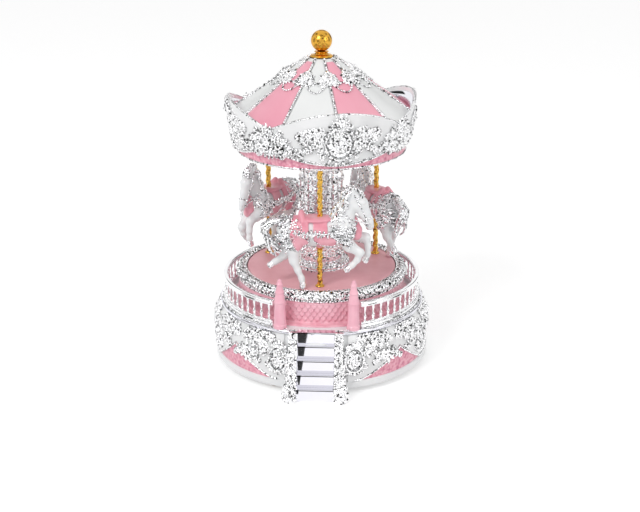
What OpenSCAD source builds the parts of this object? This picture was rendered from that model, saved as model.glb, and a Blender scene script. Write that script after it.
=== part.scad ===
/* [Base] */
// Diameter of the base at its foot
base_d = 116; // [110:1:122]
// Height of the rim's lower edge above the table, the height of the rubber feet
foot_h = 2.5; // [2.2:0.1:4]
// Height of the plain rim at the foot
rim_h = 4; // [3:0.5:6]
// Height of the base from the rim's lower edge to the deck
base_h = 31; // [30:0.5:36]
// Wall of the base moulding
base_wall = 2.2; // [1.6:0.1:3]
// Thickness of the deck
deck_t = 2.2; // [1.6:0.1:3]
// How far the deck's edge stands in from the foot's edge
deck_inset = 3.7; // [3:0.1:5]
// Height at which the coloured spandrels come to a point, above the rim's lower edge
spandrel_h = 17.5; // [14:0.5:19]
// Angle of the front spandrels from the stairs
spandrel_deg = 48; // [44:1:50]
// Thickness of the raised trim on the base wall
trim_t = 0.9; // [0.6:0.1:1.2]
// Height of the oval cartouches' middle above the rim's lower edge
base_oval_h = 19.5; // [17:0.5:21]
// Angle between an oval cartouche and the middle of its lobe
base_oval_deg = 24; // [22:0.5:27]
// Diameter of a rubber foot
foot_d = 9; // [7:0.5:11]
// Number of rubber feet, and of cover screws
foot_count = 4; // [3:1:6]
// Width of the sound slot in the bottom cover
slot_w = 8; // [5:0.5:10]
// Length of the sound slot
slot_l = 26; // [18:1:30]

/* [Stairs] */
// Number of risers
riser_count = 5; // [4:1:6]
// Depth of one tread
tread_depth = 3; // [2.5:0.1:3.6]
// Clear width between the stringers
stair_w = 19.2; // [16:0.2:21]
// Width of a stringer at the deck
stringer_top_w = 4.3; // [3.5:0.1:5]
// Width of a stringer at the table
stringer_foot_w = 6.5; // [6:0.1:8]
// Thickness of a stringer's rounded coping above the steps
coping_h = 2.6; // [1.6:0.1:3.4]

/* [Drum and railing] */
// Width of the walk between the railing and the drum
walk_w = 6.6; // [5.6:0.1:8]
// Gap between the drum's foot flange and a gate post
flange_gap = 0.2; // [0.1:0.05:0.5]
// Height of the drum above the deck
drum_h = 12; // [10:0.5:15]
// Wall of the drum
drum_wall = 2; // [1.5:0.1:3]
// Height of the cornice ring on the drum
cornice_h = 5.4; // [4:0.2:7]
// Radial width of the cornice ring
cornice_w = 4.2; // [3.6:0.1:5]
// Height of the railing above the deck
rail_h = 14.3; // [12:0.1:17]
// Radial thickness of the top and bottom rails
rail_w = 2.2; // [1.8:0.1:2.8]
// Height of the bottom rail
rail_foot_h = 3.3; // [2:0.1:4]
// Height of the top rail
rail_cap_h = 2.8; // [2:0.1:3.6]
// Number of balusters
baluster_count = 58; // [40:1:64]
// Diameter of a baluster
baluster_d = 1.9; // [1.4:0.1:2.1]
// Angle between the two gate posts
gate_deg = 42.5; // [40:0.5:48]
// Height of a gate post
post_h = 26.6; // [22:0.2:30]
// Diameter of a gate post at its foot
post_d = 7; // [6:0.1:7.6]

/* [Turntable] */
// Radial gap between the turntable and the cornice
disc_gap = 0.5; // [0.3:0.05:0.9]
// Thickness of the turntable
disc_t = 2.2; // [1.6:0.1:3]
// Diameter of the turntable's hub
hub_d = 13; // [11:0.5:16]
// Height from the turntable to the canopy's rim
canopy_lift = 65; // [60:0.5:72]

/* [Column] */
// Diameter of the fluted shaft
column_d = 22.6; // [20:0.2:25]
// Bore of the column
column_bore_d = 17; // [14:0.2:18]
// Number of flutes
flute_count = 12; // [8:1:16]
// Depth of a flute
flute_depth = 0.8; // [0.4:0.1:1.2]
// Diameter of the column's base
column_base_d = 30.6; // [28:0.2:33]
// Height of the column's base
column_base_h = 4.2; // [3:0.1:6]
// Diameter of the capital
capital_d = 25.8; // [25:0.1:28]
// Height of the capital
capital_h = 7; // [5:0.1:9]

/* [Canopy] */
// How far the canopy's lower rim stands out over the turntable
canopy_overhang = 3.8; // [2.5:0.1:5]
// Outward lean of the skirt, radius gained for each millimetre of height
skirt_lean = 0.14; // [0.08:0.01:0.18]
// Wall of the canopy band
band_wall = 1.8; // [1.4:0.1:2.4]
// Thickness of the lens-shaped skirt panels
skirt_t = 1.3; // [1:0.1:1.8]
// Height of the canopy band
band_h = 19.2; // [18:0.2:22]
// Thickness of the roof's edge where it rests on the band
eave_t = 1.2; // [0.8:0.1:2]
// Height of a panel's top in its middle, above the rim
lobe_top_h = 32; // [28:0.5:34]
// Height of the valley between two panels, above the rim
valley_h = 19.6; // [18:0.2:22]
// Height of a panel's lower edge in its middle, above the rim
lobe_foot_h = 2.6; // [1.5:0.1:4]
// Height of a panel's lower edge at the valley, above the rim
valley_foot_h = 9.6; // [8:0.2:12]
// Direction of the first panel's middle, from the stairs
canopy_deg = 14; // [0:1:30]
// Height of a cartouche's middle above the lower edge of its panel
cartouche_h = 13.5; // [11:0.5:15]
// Slope of the roof, height lost for each millimetre of radius
roof_slope = 0.6915; // [0.6:0.01:0.8]
// Wall of the roof
roof_t = 1.6; // [1.2:0.1:2]
// Number of roof panels, every second one coloured
roof_panels_count = 10; // [8:2:12]
// Thickness of a coloured roof panel
panel_t = 0.4; // [0.3:0.05:0.6]
// Diameter of a roof rib
rib_d = 1.8; // [1.4:0.1:2.2]
// Thickness of the ceiling
ceiling_t = 2; // [1.5:0.1:3]
// Height of the ceiling's underside above the rim
ceiling_inset = 1.1; // [0.8:0.1:2]

/* [Finial] */
// Radius of the flat top of the roof
roof_top_r = 6.6; // [6:0.1:8]
// Diameter of the ball
ball_d = 11; // [9:0.2:13]
// Diameter of the flange under the ball
flange_d = 12; // [10:0.2:13]
// Height of the flange and its neck
flange_h = 3.4; // [2.6:0.1:5]

/* [Horses] */
// Direction of the first pole, from the stairs
pole_deg = 1.5; // [0:0.5:30]
// Distance of a pole from the turntable's edge
pole_inset = 6.1; // [5:0.1:7]
// Diameter of a twisted pole
pole_d = 2.9; // [2.5:0.1:3.2]
// Diameter of the flange at the foot of a pole
pole_flange_d = 4.8; // [4:0.1:6]
// Height of a horse's belly above the turntable
belly_h = 22.4; // [21:0.1:24]
// Height of the saddle's seat above the turntable
seat_h = 36.4; // [35.6:0.1:38]
// Diameter of the steel rod in a pole
rod_d = 1.5; // [1.2:0.1:1.7]
// Thickness of the blanket under a saddle
blanket_t = 0.75; // [0.5:0.05:1]
// How far the saddle's middle reaches down into the horse's back
saddle_sink = 3.6; // [2.5:0.1:4]

/* [Movement] */
// Depth of the key well above the table
well_h = 9; // [8.6:0.1:10]
// Diameter of the key well
well_d = 41; // [38:0.5:44]
// Thickness of the bottom cover
cover_t = 1.5; // [1.2:0.1:1.8]
// Thickness of the bedplate
plate_t = 2.5; // [2:0.1:3]
// Diameter of the spring barrel
barrel_d = 24.4; // [22:0.2:25]
// Wall of the spring barrel
barrel_wall = 0.9; // [0.7:0.1:1.2]
// Diameter of the pinned cylinder
cylinder_d = 12.6; // [12:0.1:12.8]
// Length of the pinned cylinder
cylinder_l = 21.4; // [21:0.1:22]
// Number of comb teeth, one for each note
note_count = 18; // [12:1:20]
// Gap between the tips of the comb's teeth and the cylinder
comb_gap = 0.75; // [0.7:0.05:1]
// Length of the longest comb tooth
tooth_l = 9; // [7:0.5:10]
// Diameter of the winding arbor
arbor_d = 3.2; // [2.8:0.1:3.6]
// Diameter of the output shaft
shaft_d = 5; // [4.6:0.1:6]
// Radial clearance of every running fit
running_gap = 0.05; // [0.03:0.01:0.08]
// Width of the winding key's blade
key_w = 22; // [18:0.5:24]
// Thickness of the winding key's blade
key_t = 1.6; // [1.4:0.1:2.4]

/* [Hidden] */

// Segments of the small and of the large round forms
$fn = 64;
fine = 240;
// Direction of the stairs in the XY plane
front_deg = -90;
// How far a piece of relief reaches below the face it is fitted to, before it is cut to that face
sink = 2;
// Gap between two pieces that rest on each other
seat_gap = 0.03;
// Gap round a rod in its hole
rod_gap = 0.05;
// Gap round a shaft that is pressed into its hole
press_gap = 0.01;
// Longer than anything that it cuts through
far = 200;

// Skirt panels, one to each quarter as on the base
lobe_count = 4;
// Horses, one to each pole
horse_count = 3;
// The barrel's wheel drives the cylinder's crown wheel at two to one
barrel_teeth = 48;
crown_teeth = 24;
crown_r = 7;

// Base: its outer radius, deck, rim and wall, the wall's belly, and the groove under the deck
base_r = base_d / 2;
deck_z = foot_h + base_h;
deck_r = base_r - deck_inset;
rim_z = foot_h + rim_h;
wall_r = base_r - 1.4;
belly_swell = 0.9;
groove_h = 2.4;
// Height of the deck's square edge over the groove
deck_edge_h = 1.6;
// How far the wall's top stands in from the deck's edge
groove_d = 0.8;

// Railing, drum and cornice, from the deck's edge inwards and up
rail_r = deck_r - 1 - rail_w / 2;
drum_r = rail_r - rail_w / 2 - walk_w;
drum_top_z = deck_z + drum_h;
cornice_r = drum_r + 0.3;
cornice_in_r = cornice_r - cornice_w;
cornice_top_z = drum_top_z + cornice_h;
// Turntable: it lies inside the cornice, level with its top, and carries the poles
disc_r = cornice_in_r - disc_gap;
disc_z = cornice_top_z;
pole_r = disc_r - pole_inset;
canopy_rim_r = disc_r + canopy_overhang;

// Canopy, from its rim up to the ball
canopy_z = disc_z + canopy_lift;
ceiling_z = canopy_z + ceiling_inset;
band_top_z = canopy_z + band_h;
band_top_r = canopy_rim_r + skirt_lean * band_h;
eave_r = band_top_r - 0.1;
eave_z = band_top_z + eave_t;
roof_top_z = eave_z + roof_slope * (eave_r - roof_top_r);
ball_z = roof_top_z + flange_h + ball_d / 2 - 0.4;

// Movement: bedplate on the key well, barrel over it, and the cylinder beside the barrel
plate_z = well_h + cover_t + seat_gap;
plate_top_z = plate_z + plate_t;
cover_z = foot_h;
cylinder_z = plate_top_z + crown_r + 1.6;
barrel_z = plate_top_z + 0.4;
barrel_top_z = deck_z - deck_t - 3.6;
// Thickness of the barrel's lid
lid_t = 1.2;
wheel_r = crown_r * barrel_teeth / crown_teeth;
wheel_t = 1.6;
wheel_z = cylinder_z - crown_r;
crown_x = wheel_r + 0.65;
crown_t = 1.2;
cylinder_x = crown_x + crown_t + seat_gap;
cylinder_end_x = cylinder_x + cylinder_l;
// Screws, with their bosses and pan heads
boss_r = 3;
screw_r = 1.2;
head_r = 2.4;
head_h = 1.4;
// The sound slot lies midway between the key well and the cover's edge
slot_x = (well_d / 2 + cover_t + base_r - base_wall) / 2;
// Where the cover is screwed to the base
cover_screw_deg = 45;
cover_screw_r = base_r - 10;
// Where the bedplate is screwed down
plate_holes = [[26, 12.5], [26, -20.5], [42, -7]];
// Outline of the bedplate, from the arbor to the cylinder's outer bearing
plate_outline = [[-14, -9], [-9, -14], [14, -24], [44, -24], [46, -22], [46, 16], [44, 18],
    [20, 18], [12, 13], [-9, 13], [-14, 8]];
// Stairs, down from the deck's edge to the table
riser_h = deck_z / riser_count;
stair_top_y = -(deck_r + seat_gap);
stair_foot_y = stair_top_y - (riser_count - 1) * tread_depth;
// Gate posts, at the ends of the railing
post_r = rail_r - 0.2;
// The drum's foot flange covers the walk up to the gate posts
flange_r = post_r - post_d / 2 - flange_gap;
drum_flange_t = 0.8;
// Half the railing's gap at a post, and the railing's whole sweep
post_half_deg = asin((post_d / 2 + 0.2) / rail_r);
rail_deg = 360 - gate_deg - 2 * post_half_deg;
// Comb: the tips of its teeth, its screws, and its size
comb_y = -(cylinder_d / 2 + comb_gap);
comb_screw_y = comb_y - tooth_l - 3.2;
comb_w = cylinder_l - 0.6;
comb_t = 1.8;
// How far the comb's ends stay inside the cylinder's
comb_edge = 0.3;
// Distance of a comb screw from the comb's middle
comb_screw_x = 7;
// The cylinder's outer bearing and the small brackets
outer_bearing_x = cylinder_end_x + 4.6;
bracket_holes = [[outer_bearing_x + 1, -4], [outer_bearing_x + 1, 4]];
bracket_t = 1;
journal_r = 0.9;
// Governor: the cylinder's wheel drives a pinion, whose worm wheel drives the worm and the fly
cylinder_wheel_r = 7.2;
cylinder_wheel_teeth = 48;
pinion_teeth = 12;
pinion_r = cylinder_wheel_r * pinion_teeth / cylinder_wheel_teeth;
gov_y = cylinder_wheel_r + pinion_r;
worm_wheel_teeth = 30;
worm_wheel_r = 4.5;
worm_r = 1.3;
worm_deg = -126;
cylinder_wheel_x = cylinder_end_x + 0.4;
worm_wheel_x = cylinder_wheel_x + 2.4;
worm_y = gov_y + worm_wheel_r + worm_r;
gov_arbor_x = cylinder_wheel_x - 2.2;
gov_bearing_x = worm_wheel_x + 2.2;
fly_top_z = deck_z - deck_t - 1.4;
// Radii of the governor's arbor and of the fly's arbor
gov_arbor_r = 0.5;
fly_arbor_r = 0.4;
// Turntable's hub, and the end of the output shaft in it
hub_z = deck_z + 0.4;
hub_top_z = disc_z - disc_t;
shaft_top_z = hub_z + (hub_top_z - hub_z) * 0.7;
// Radius of the rod that ties the ball to the hub
rod_core_r = 1.5;
// Clearance between a horse and its saddle
saddle_gap = 0.06;
// The horse's body grows with the height between its belly and the seat
body_k = (seat_h - belly_h) / 14;
// The column stands between its base and its capital
column_z = disc_z + column_base_h;
capital_z = ceiling_z - capital_h;

// Radius of the circle whose sagitta is h on a half chord c
function arc_r(c, h) = (c * c + h * h) / (2 * h);

// One ring of a loft: an ellipse across the path's direction deg in the XZ plane
function ring(x, z, deg, w, h, y = 0, n = 12) =
    [for (i = [0:n - 1]) let (t = 360 * i / n)
        [x - h * sin(t) * sin(deg), y + w * cos(t), z + h * sin(t) * cos(deg)]];

// A closed skin over a list of rings
module loft(rings) {
    n = len(rings[0]);
    last = len(rings) - 1;
    points = [for (r = rings) each r];
    sides = [for (k = [0:last - 1], i = [0:n - 1])
        [k * n + i, (k + 1) * n + i, (k + 1) * n + (i + 1) % n, k * n + (i + 1) % n]];
    first_cap = [for (i = [0:n - 1]) i];
    last_cap = [for (i = [n - 1:-1:0]) last * n + i];
    polyhedron(points, concat(sides, [first_cap, last_cap]));
}

// A tube with a round bore
module tube(r, bore_r, h) {
    difference() {
        cylinder(r = r, h = h);
        translate([0, 0, -1]) cylinder(r = bore_r, h = h + 2);
    }
}

// Turns its child from +X to the direction deg, counted from the stairs
module face(deg) {
    rotate([0, 0, front_deg + deg]) children();
}

// Straight-sided toothed wheel outline
module wheel_outline(teeth, root_r, tip_r, share) {
    step = 360 / teeth;
    polygon([for (i = [0:teeth - 1], j = [0:3])
        let (half = step * share * (j == 0 || j == 3 ? 0.5 : 0.28))
        let (r = j == 0 || j == 3 ? root_r : tip_r)
        let (a = i * step + (j < 2 ? -half : half))
        [r * cos(a), r * sin(a)]]);
}

// Outer line of the base wall, from the rim up to the deck, moved out by d
function base_line(d) = concat(
    [[wall_r + d, rim_z]],
    [for (i = [1:7]) let (u = i / 8)
        [wall_r + d + belly_swell * sin(180 * u) - deck_inset * 0.75 * pow(u, 3),
            rim_z + (deck_z - groove_h - rim_z) * u]],
    [[deck_r - groove_d + d, deck_z - groove_h]]);

// Solid of the base wall's outer form, moved out by d
module base_form(d) {
    rotate_extrude($fn = fine) polygon(concat([[0, rim_z]], base_line(d), [[0, deck_z - groove_h]]));
}

// The four round-bottomed lobes of the base, seen along their own directions
module base_lobes(d) {
    lobe(0, wall_r * sin(spandrel_deg), d);
    lobe(90, wall_r * cos(spandrel_deg), d);
    lobe(180, wall_r * sin(spandrel_deg), d);
    lobe(270, wall_r * cos(spandrel_deg), d);
}

// One lobe: a round bar through the wall, its lowest point at the foot's height
module lobe(deg, half, d) {
    r = arc_r(half, spandrel_h);
    face(deg) translate([0, 0, foot_h + r]) rotate([0, 90, 0]) cylinder(r = r + d, h = far, $fn = fine);
}

// The skin of trim thickness over the whole wall
module base_ring() {
    difference() {
        base_form(trim_t);
        base_form(seat_gap);
    }
}

// The base moulding: rim, bellied wall, deck, screw bosses and the shaft's boss
module base_shell() {
    inner_r = base_r - base_wall;
    color("white") difference() {
        union() {
            rotate_extrude() polygon(concat(
                [[inner_r, foot_h], [base_r - 0.5, foot_h], [base_r, foot_h + 0.5], [base_r, rim_z - 0.6],
                    [base_r - 0.6, rim_z]],
                base_line(0),
                [[deck_r, deck_z - deck_edge_h], [deck_r, deck_z], [0, deck_z], [0, deck_z - deck_t],
                    [deck_r - groove_d - base_wall, deck_z - deck_t],
                    [wall_r - base_wall, rim_z + (deck_z - rim_z) * 0.5], [inner_r, rim_z]]));
            translate([0, 0, deck_z - deck_t - 1.8]) cylinder(d = shaft_d + 7, h = 2);
            for (i = [0:foot_count - 1]) face(cover_screw_deg + i * 360 / foot_count)
                translate([cover_screw_r, 0, cover_z + cover_t + seat_gap])
                    cylinder(r = boss_r, h = deck_z - deck_t - cover_z - cover_t + 0.5);
        }
        translate([0, 0, deck_z - deck_t - 3]) cylinder(r = shaft_d / 2 + running_gap, h = deck_t + 4);
        for (i = [0:foot_count - 1]) face(cover_screw_deg + i * 360 / foot_count)
            translate([cover_screw_r, 0, 0]) cylinder(r = screw_r + seat_gap, h = cover_z + 12);
    }
}

// The white lens panels, open at the stairs
module base_panels() {
    color("ghostwhite") difference() {
        intersection() {
            base_ring();
            base_lobes(0);
        }
        stair_clearance();
    }
}

// The coloured corners under and between the lens panels
module base_spandrels() {
    color("lightpink") difference() {
        intersection() {
            difference() {
                base_form(trim_t - 0.3);
                base_form(seat_gap);
            }
            cylinder(r = far, h = foot_h + spandrel_h);
        }
        base_lobes(seat_gap);
    }
}

// The space that the staircase takes out of the trim
module stair_clearance() {
    w = stair_w + 2 * stringer_foot_w + 0.4;
    translate([-w / 2, -base_r - 20, 0]) cube([w, 40, deck_z + 1]);
}

// An oval of half sizes a across and b up, as an outline
module oval(a, b) {
    polygon([for (i = [0:23]) [a * cos(15 * i), b * sin(15 * i)]]);
}

// A framed oval plaque facing +X, sunk below x = 0 and t proud of it
module plaque(a, b, t) {
    translate([-sink, 0, 0]) rotate([90, 0, 90]) {
        difference() {
            linear_extrude(sink + t) oval(a, b);
            translate([0, 0, sink + t * 0.45]) linear_extrude(t) oval(a * 0.7, b * 0.7);
        }
        linear_extrude(sink + t * 0.8) oval(a * 0.4, b * 0.4);
    }
}

// A flower of n round petals facing +X, t proud of x = 0
module rosette(r, t, n) {
    translate([-sink, 0, 0]) rotate([0, 90, 0]) {
        for (i = [0:n - 1]) rotate([0, 0, (i + 0.3) * 360 / n]) translate([r * 0.6, 0, 0])
            cylinder(r = r * 0.38, h = sink + t * 0.7);
        cylinder(r = r * 0.44, h = sink + t);
    }
}

// The cast ovals and stars on the base wall
module base_relief() {
    color("silver") difference() {
        union() {
            for (deg = [0, 90, 180, 270], side = [-1, 1])
                face(deg + side * base_oval_deg) translate([wall_r + trim_t, 0, foot_h + base_oval_h])
                    plaque(4.2, 5.6, 1.8);
            for (deg = [spandrel_deg, 180 - spandrel_deg, 180 + spandrel_deg, -spandrel_deg])
                face(deg) translate([wall_r + trim_t, 0, foot_h + spandrel_h + 2.5]) rosette(3.4, 1.4, 6);
        }
        base_form(trim_t + seat_gap);
    }
}

// The slot that lets the sound out of the base, with round ends
module sound_slot() {
    h = cover_t + 2;
    run = slot_l - slot_w;
    translate([-slot_w / 2, -run / 2, 0]) cube([slot_w, run, h]);
    for (side = [-1, 1]) translate([0, side * run / 2, 0]) cylinder(d = slot_w, h = h);
}

// The cover under the base, with the key's well and the sound slot
module bottom_cover() {
    r = base_r - base_wall - 0.15;
    color("whitesmoke") difference() {
        union() {
            translate([0, 0, cover_z]) cylinder(r = r, h = cover_t);
            translate([0, 0, cover_z]) cylinder(r = well_d / 2 + cover_t, h = well_h + cover_t - cover_z);
            for (p = plate_holes) translate([p[0], p[1], cover_z])
                cylinder(r = 2.6, h = well_h + cover_t - cover_z);
        }
        translate([0, 0, cover_z - 1]) cylinder(d = well_d, h = well_h - cover_z + 1);
        translate([-slot_x, 0, cover_z - 1]) sound_slot();
        cylinder(r = arbor_d / 2 + running_gap, h = far);
        for (p = plate_holes) translate([p[0], p[1], cover_z - 1]) cylinder(r = screw_r + 0.1, h = far);
        for (i = [0:foot_count - 1]) face(cover_screw_deg + i * 360 / foot_count)
            translate([cover_screw_r, 0, 0]) cylinder(r = screw_r + 0.2, h = far);
    }
}

// A screw with a slotted pan head, its point up
module pan_screw(r, length, head_r, head_h) {
    cylinder(r = r, h = length);
    translate([0, 0, -head_h]) difference() {
        cylinder(r = head_r, h = head_h);
        translate([-head_r, -0.3, -0.1]) cube([2 * head_r, 0.6, 0.6]);
    }
}

// The screws that hold the cover to the base
module cover_screws() {
    color("silver") for (i = [0:foot_count - 1]) face(cover_screw_deg + i * 360 / foot_count)
        translate([cover_screw_r, 0, cover_z - seat_gap]) pan_screw(screw_r, 11, head_r, head_h);
}

// The rubber feet under the rim
module foot_pads() {
    color("wheat") for (i = [0:foot_count - 1]) face(cover_screw_deg + 20 + i * 360 / foot_count)
        translate([base_r - 9, 0, 0]) cylinder(d = foot_d, h = foot_h - seat_gap);
}

// Solid that the staircase stands clear of
module base_outline() {
    rotate_extrude($fn = fine) polygon(concat(
        [[0, 0], [base_r + seat_gap, 0], [base_r + seat_gap, rim_z]],
        base_line(seat_gap),
        [[deck_r + seat_gap, deck_z - deck_edge_h], [deck_r + seat_gap, deck_z + 1], [0, deck_z + 1]]));
}

// The flight of steps, cut to fit round the base
module stair_steps() {
    color("gainsboro") difference() {
        translate([-stair_w / 2 + seat_gap, 0, 0]) rotate([90, 0, 90])
            linear_extrude(stair_w - 2 * seat_gap) polygon(concat(
                [[-deck_r + 6, 0], [-deck_r + 6, deck_z]],
                [for (i = [0:riser_count - 1], j = [0, 1])
                    [stair_top_y - i * tread_depth - (i == 0 ? 0.8 : 0), deck_z - (i + j) * riser_h]]));
        base_outline();
    }
}

// One stringer: a raking wall with a rounded coping and a scrolled newel at its foot
module stringer(side) {
    foot_y = stair_foot_y - 1.2;
    x0 = stair_w / 2;
    color("silver") mirror([side < 0 ? 1 : 0, 0, 0]) difference() {
        union() {
            translate([x0, 0, 0]) rotate([90, 0, 90]) linear_extrude(stringer_top_w) polygon([
                [-deck_r + 6, 0], [-deck_r + 6, deck_z], [stair_top_y - 1, deck_z],
                [foot_y, riser_h + coping_h], [foot_y, 0]]);
            for (i = [0:2]) translate([x0 + stringer_foot_w / 2, foot_y + 2.2 + 3 * i, 0])
                cylinder(d = stringer_foot_w - 0.8 * i, h = riser_h * (1 + 0.9 * i));
            translate([x0 + stringer_foot_w / 2, foot_y + 2.2, riser_h]) sphere(d = stringer_foot_w);
        }
        base_outline();
    }
}

// The two stringers beside the steps
module stair_stringer_left() { stringer(-1); }
module stair_stringer_right() { stringer(1); }

// The drum that lifts the turntable, with a flange at its foot
module platform_drum() {
    color("pink") translate([0, 0, deck_z + seat_gap]) rotate_extrude() polygon([
        [drum_r - drum_wall, 0], [flange_r, 0], [flange_r, drum_flange_t],
        [drum_r + 0.6, drum_flange_t + 0.2], [drum_r, drum_flange_t + 0.8], [drum_r, drum_h - 1.2],
        [drum_r + 0.4, drum_h - 0.9], [drum_r + 0.4, drum_h - seat_gap],
        [drum_r - drum_wall, drum_h - seat_gap]]);
}

// The moulded ring round the turntable, on the drum
module cornice_ring() {
    r = cornice_r;
    color("silver") translate([0, 0, drum_top_z + seat_gap]) rotate_extrude() polygon([
        [cornice_in_r, 0], [r + 0.1, 0], [r + 0.5, 0.6], [r - 0.3, 1.1], [r - 0.3, 1.7],
        [r + 0.6, 2.3], [r + 0.6, cornice_h - 2], [r, cornice_h - 1.4], [r - 0.2, cornice_h - 0.6],
        [r - 0.8, cornice_h - seat_gap], [cornice_in_r, cornice_h - seat_gap]]);
}

// A square bar swept round the railing's arc
module rail_sweep(w, h) {
    face(gate_deg / 2 + post_half_deg) rotate_extrude(angle = rail_deg)
        translate([rail_r - w / 2, 0]) square([w, h]);
}

// Two rails and the balusters between them, open at the stairs
module railing() {
    color("silver") translate([0, 0, deck_z + seat_gap]) {
        rail_sweep(rail_w, rail_foot_h);
        translate([0, 0, rail_h - rail_cap_h]) rail_sweep(rail_w, rail_cap_h);
        for (i = [0:baluster_count - 1])
            face(gate_deg / 2 + post_half_deg + (i + 0.5) * rail_deg / baluster_count)
                translate([rail_r, 0, rail_foot_h - 0.2])
                    cylinder(d = baluster_d, h = rail_h - rail_foot_h - rail_cap_h + 0.4);
    }
}

// A turned post that tapers through four rings to a blunt point
module gate_post() {
    r = post_d / 2;
    translate([0, 0, deck_z + seat_gap]) rotate_extrude() polygon([
        [0, 0], [r, 0], [r, 1.6], [r * 0.9, 2.2],
        [r * 0.78, post_h * 0.5], [r * 0.86, post_h * 0.53], [r * 0.78, post_h * 0.57],
        [r * 0.6, post_h * 0.7], [r * 0.68, post_h * 0.73], [r * 0.56, post_h * 0.77],
        [r * 0.42, post_h * 0.86], [r * 0.5, post_h * 0.89], [r * 0.34, post_h * 0.93],
        [r * 0.3, post_h * 0.97], [0, post_h]]);
}

// The two posts beside the head of the stairs
module gate_post_left() { color("pink") face(-gate_deg / 2) translate([post_r, 0, 0]) gate_post(); }
module gate_post_right() { color("pink") face(gate_deg / 2) translate([post_r, 0, 0]) gate_post(); }

// The bedplate that carries the movement, with the comb's seat
module movement_plate() {
    color("silver") difference() {
        union() {
            translate([0, 0, plate_z]) linear_extrude(plate_t) polygon(plate_outline);
            translate([cylinder_x, comb_screw_y - 3.4, plate_z])
                cube([cylinder_l, 6, cylinder_z - comb_t / 2 - seat_gap - plate_z]);
        }
        cylinder(r = arbor_d / 2 + running_gap, h = far);
        for (p = plate_holes) translate([p[0], p[1], 0])
            cylinder(r = screw_r + seat_gap, h = plate_top_z + 1);
        for (side = [-1, 1])
            translate([cylinder_x + cylinder_l / 2 + side * comb_screw_x, comb_screw_y, plate_top_z])
                cylinder(r = screw_r + seat_gap, h = far);
        for (p = bracket_holes) translate([p[0], p[1], 0]) cylinder(r = 0.9, h = far);
    }
}

// The steel comb, one tooth to each note
module comb() {
    pitch = comb_w / note_count;
    tooth_t = 0.6;
    back = 3.2;
    color("lightsteelblue") translate([cylinder_x + comb_edge, 0, cylinder_z - comb_t / 2]) difference() {
        union() {
            translate([0, comb_screw_y - back, 0])
                cube([comb_w, comb_y - tooth_l - comb_screw_y + back, comb_t]);
            for (i = [0:note_count - 1])
                translate([(i + 0.2) * pitch, comb_y - tooth_l - 0.1, (comb_t - tooth_t) / 2])
                    cube([pitch * 0.6, tooth_l + 0.1, tooth_t]);
        }
        for (side = [-1, 1]) translate([cylinder_l / 2 - comb_edge + side * comb_screw_x, comb_screw_y, -1])
            cylinder(r = screw_r + 0.1, h = comb_t + 2);
    }
}

// The screws that hold the comb to its seat
module comb_screws() {
    mid_x = cylinder_x + cylinder_l / 2;
    color("goldenrod") for (side = [-1, 1])
        translate([mid_x + side * comb_screw_x, comb_screw_y, cylinder_z + comb_t / 2 + seat_gap])
            rotate([180, 0, 0]) pan_screw(screw_r, 6, 2.2, 1.2);
}

// The outer bearing of the pinned cylinder
module cylinder_bracket() {
    half_w = 2.2;
    color("silver") difference() {
        union() {
            translate([outer_bearing_x, -half_w, plate_top_z + seat_gap])
                cube([bracket_t, 2 * half_w, cylinder_z - plate_top_z]);
            translate([outer_bearing_x, 0, cylinder_z]) rotate([0, 90, 0])
                cylinder(r = half_w, h = bracket_t);
            translate([outer_bearing_x, -6, plate_top_z + seat_gap]) cube([3.2, 12, 1]);
        }
        translate([outer_bearing_x - 1, 0, cylinder_z]) rotate([0, 90, 0])
            cylinder(r = journal_r + running_gap, h = bracket_t + 2);
    }
}

// The bearings of the governor's wheel and of the fly
module governor_bracket() {
    color("goldenrod") difference() {
        union() {
            translate([gov_bearing_x, gov_y - 1.6, plate_top_z + seat_gap])
                cube([bracket_t, 3.2, cylinder_z - plate_top_z + 1.8]);
            translate([gov_arbor_x, gov_y - 1.2, plate_top_z + seat_gap])
                cube([bracket_t, 2.6, cylinder_z - plate_top_z + 1.8]);
            translate([gov_arbor_x, gov_y - 1.6, plate_top_z + seat_gap])
                cube([gov_bearing_x - gov_arbor_x + 0.5, worm_y - gov_y + 3.4, 1]);
            translate([worm_wheel_x - 1.5, worm_y + 5, plate_top_z + seat_gap])
                cube([3.2, bracket_t, fly_top_z - plate_top_z + 0.6]);
            translate([worm_wheel_x - 1.5, worm_y - 1.5, plate_top_z + seat_gap])
                cube([3.2, 7.5, 1]);
            translate([worm_wheel_x - 1.5, worm_y - 1.4, fly_top_z - 0.4]) cube([3.2, 7.4, 1]);
        }
        translate([gov_arbor_x - 1, gov_y, cylinder_z]) rotate([0, 90, 0])
            cylinder(r = gov_arbor_r + running_gap, h = gov_bearing_x - gov_arbor_x + 4);
        translate([worm_wheel_x + 0.6, worm_y, 0]) cylinder(r = fly_arbor_r + running_gap, h = far);
    }
}

// The screws through the cover's posts into the bedplate
module movement_screws() {
    color("silver") for (p = plate_holes) translate([p[0], p[1], cover_z - seat_gap])
        pan_screw(screw_r, plate_top_z - cover_z, head_r, head_h);
}

// The key in its well: a hub and a blade with two round, pierced wings
module winding_key() {
    blade_h = well_h - 2.6;
    color("goldenrod") difference() {
        union() {
            translate([0, 0, 1]) cylinder(d = arbor_d + 3, h = well_h - 1.6);
            translate([-key_w / 2 + blade_h / 2, -key_t / 2, 1]) cube([key_w - blade_h, key_t, blade_h]);
            for (side = [-1, 1]) translate([side * (key_w - blade_h) / 2, key_t / 2, 1 + blade_h / 2])
                rotate([90, 0, 0]) cylinder(d = blade_h, h = key_t);
        }
        translate([0, 0, 3]) cylinder(r = arbor_d / 2 + press_gap, h = far);
        for (side = [-1, 1]) translate([side * (key_w / 2 - blade_h / 2), key_t, 1 + blade_h / 2])
            rotate([90, 0, 0]) cylinder(d = blade_h * 0.45, h = 2 * key_t);
    }
}

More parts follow.
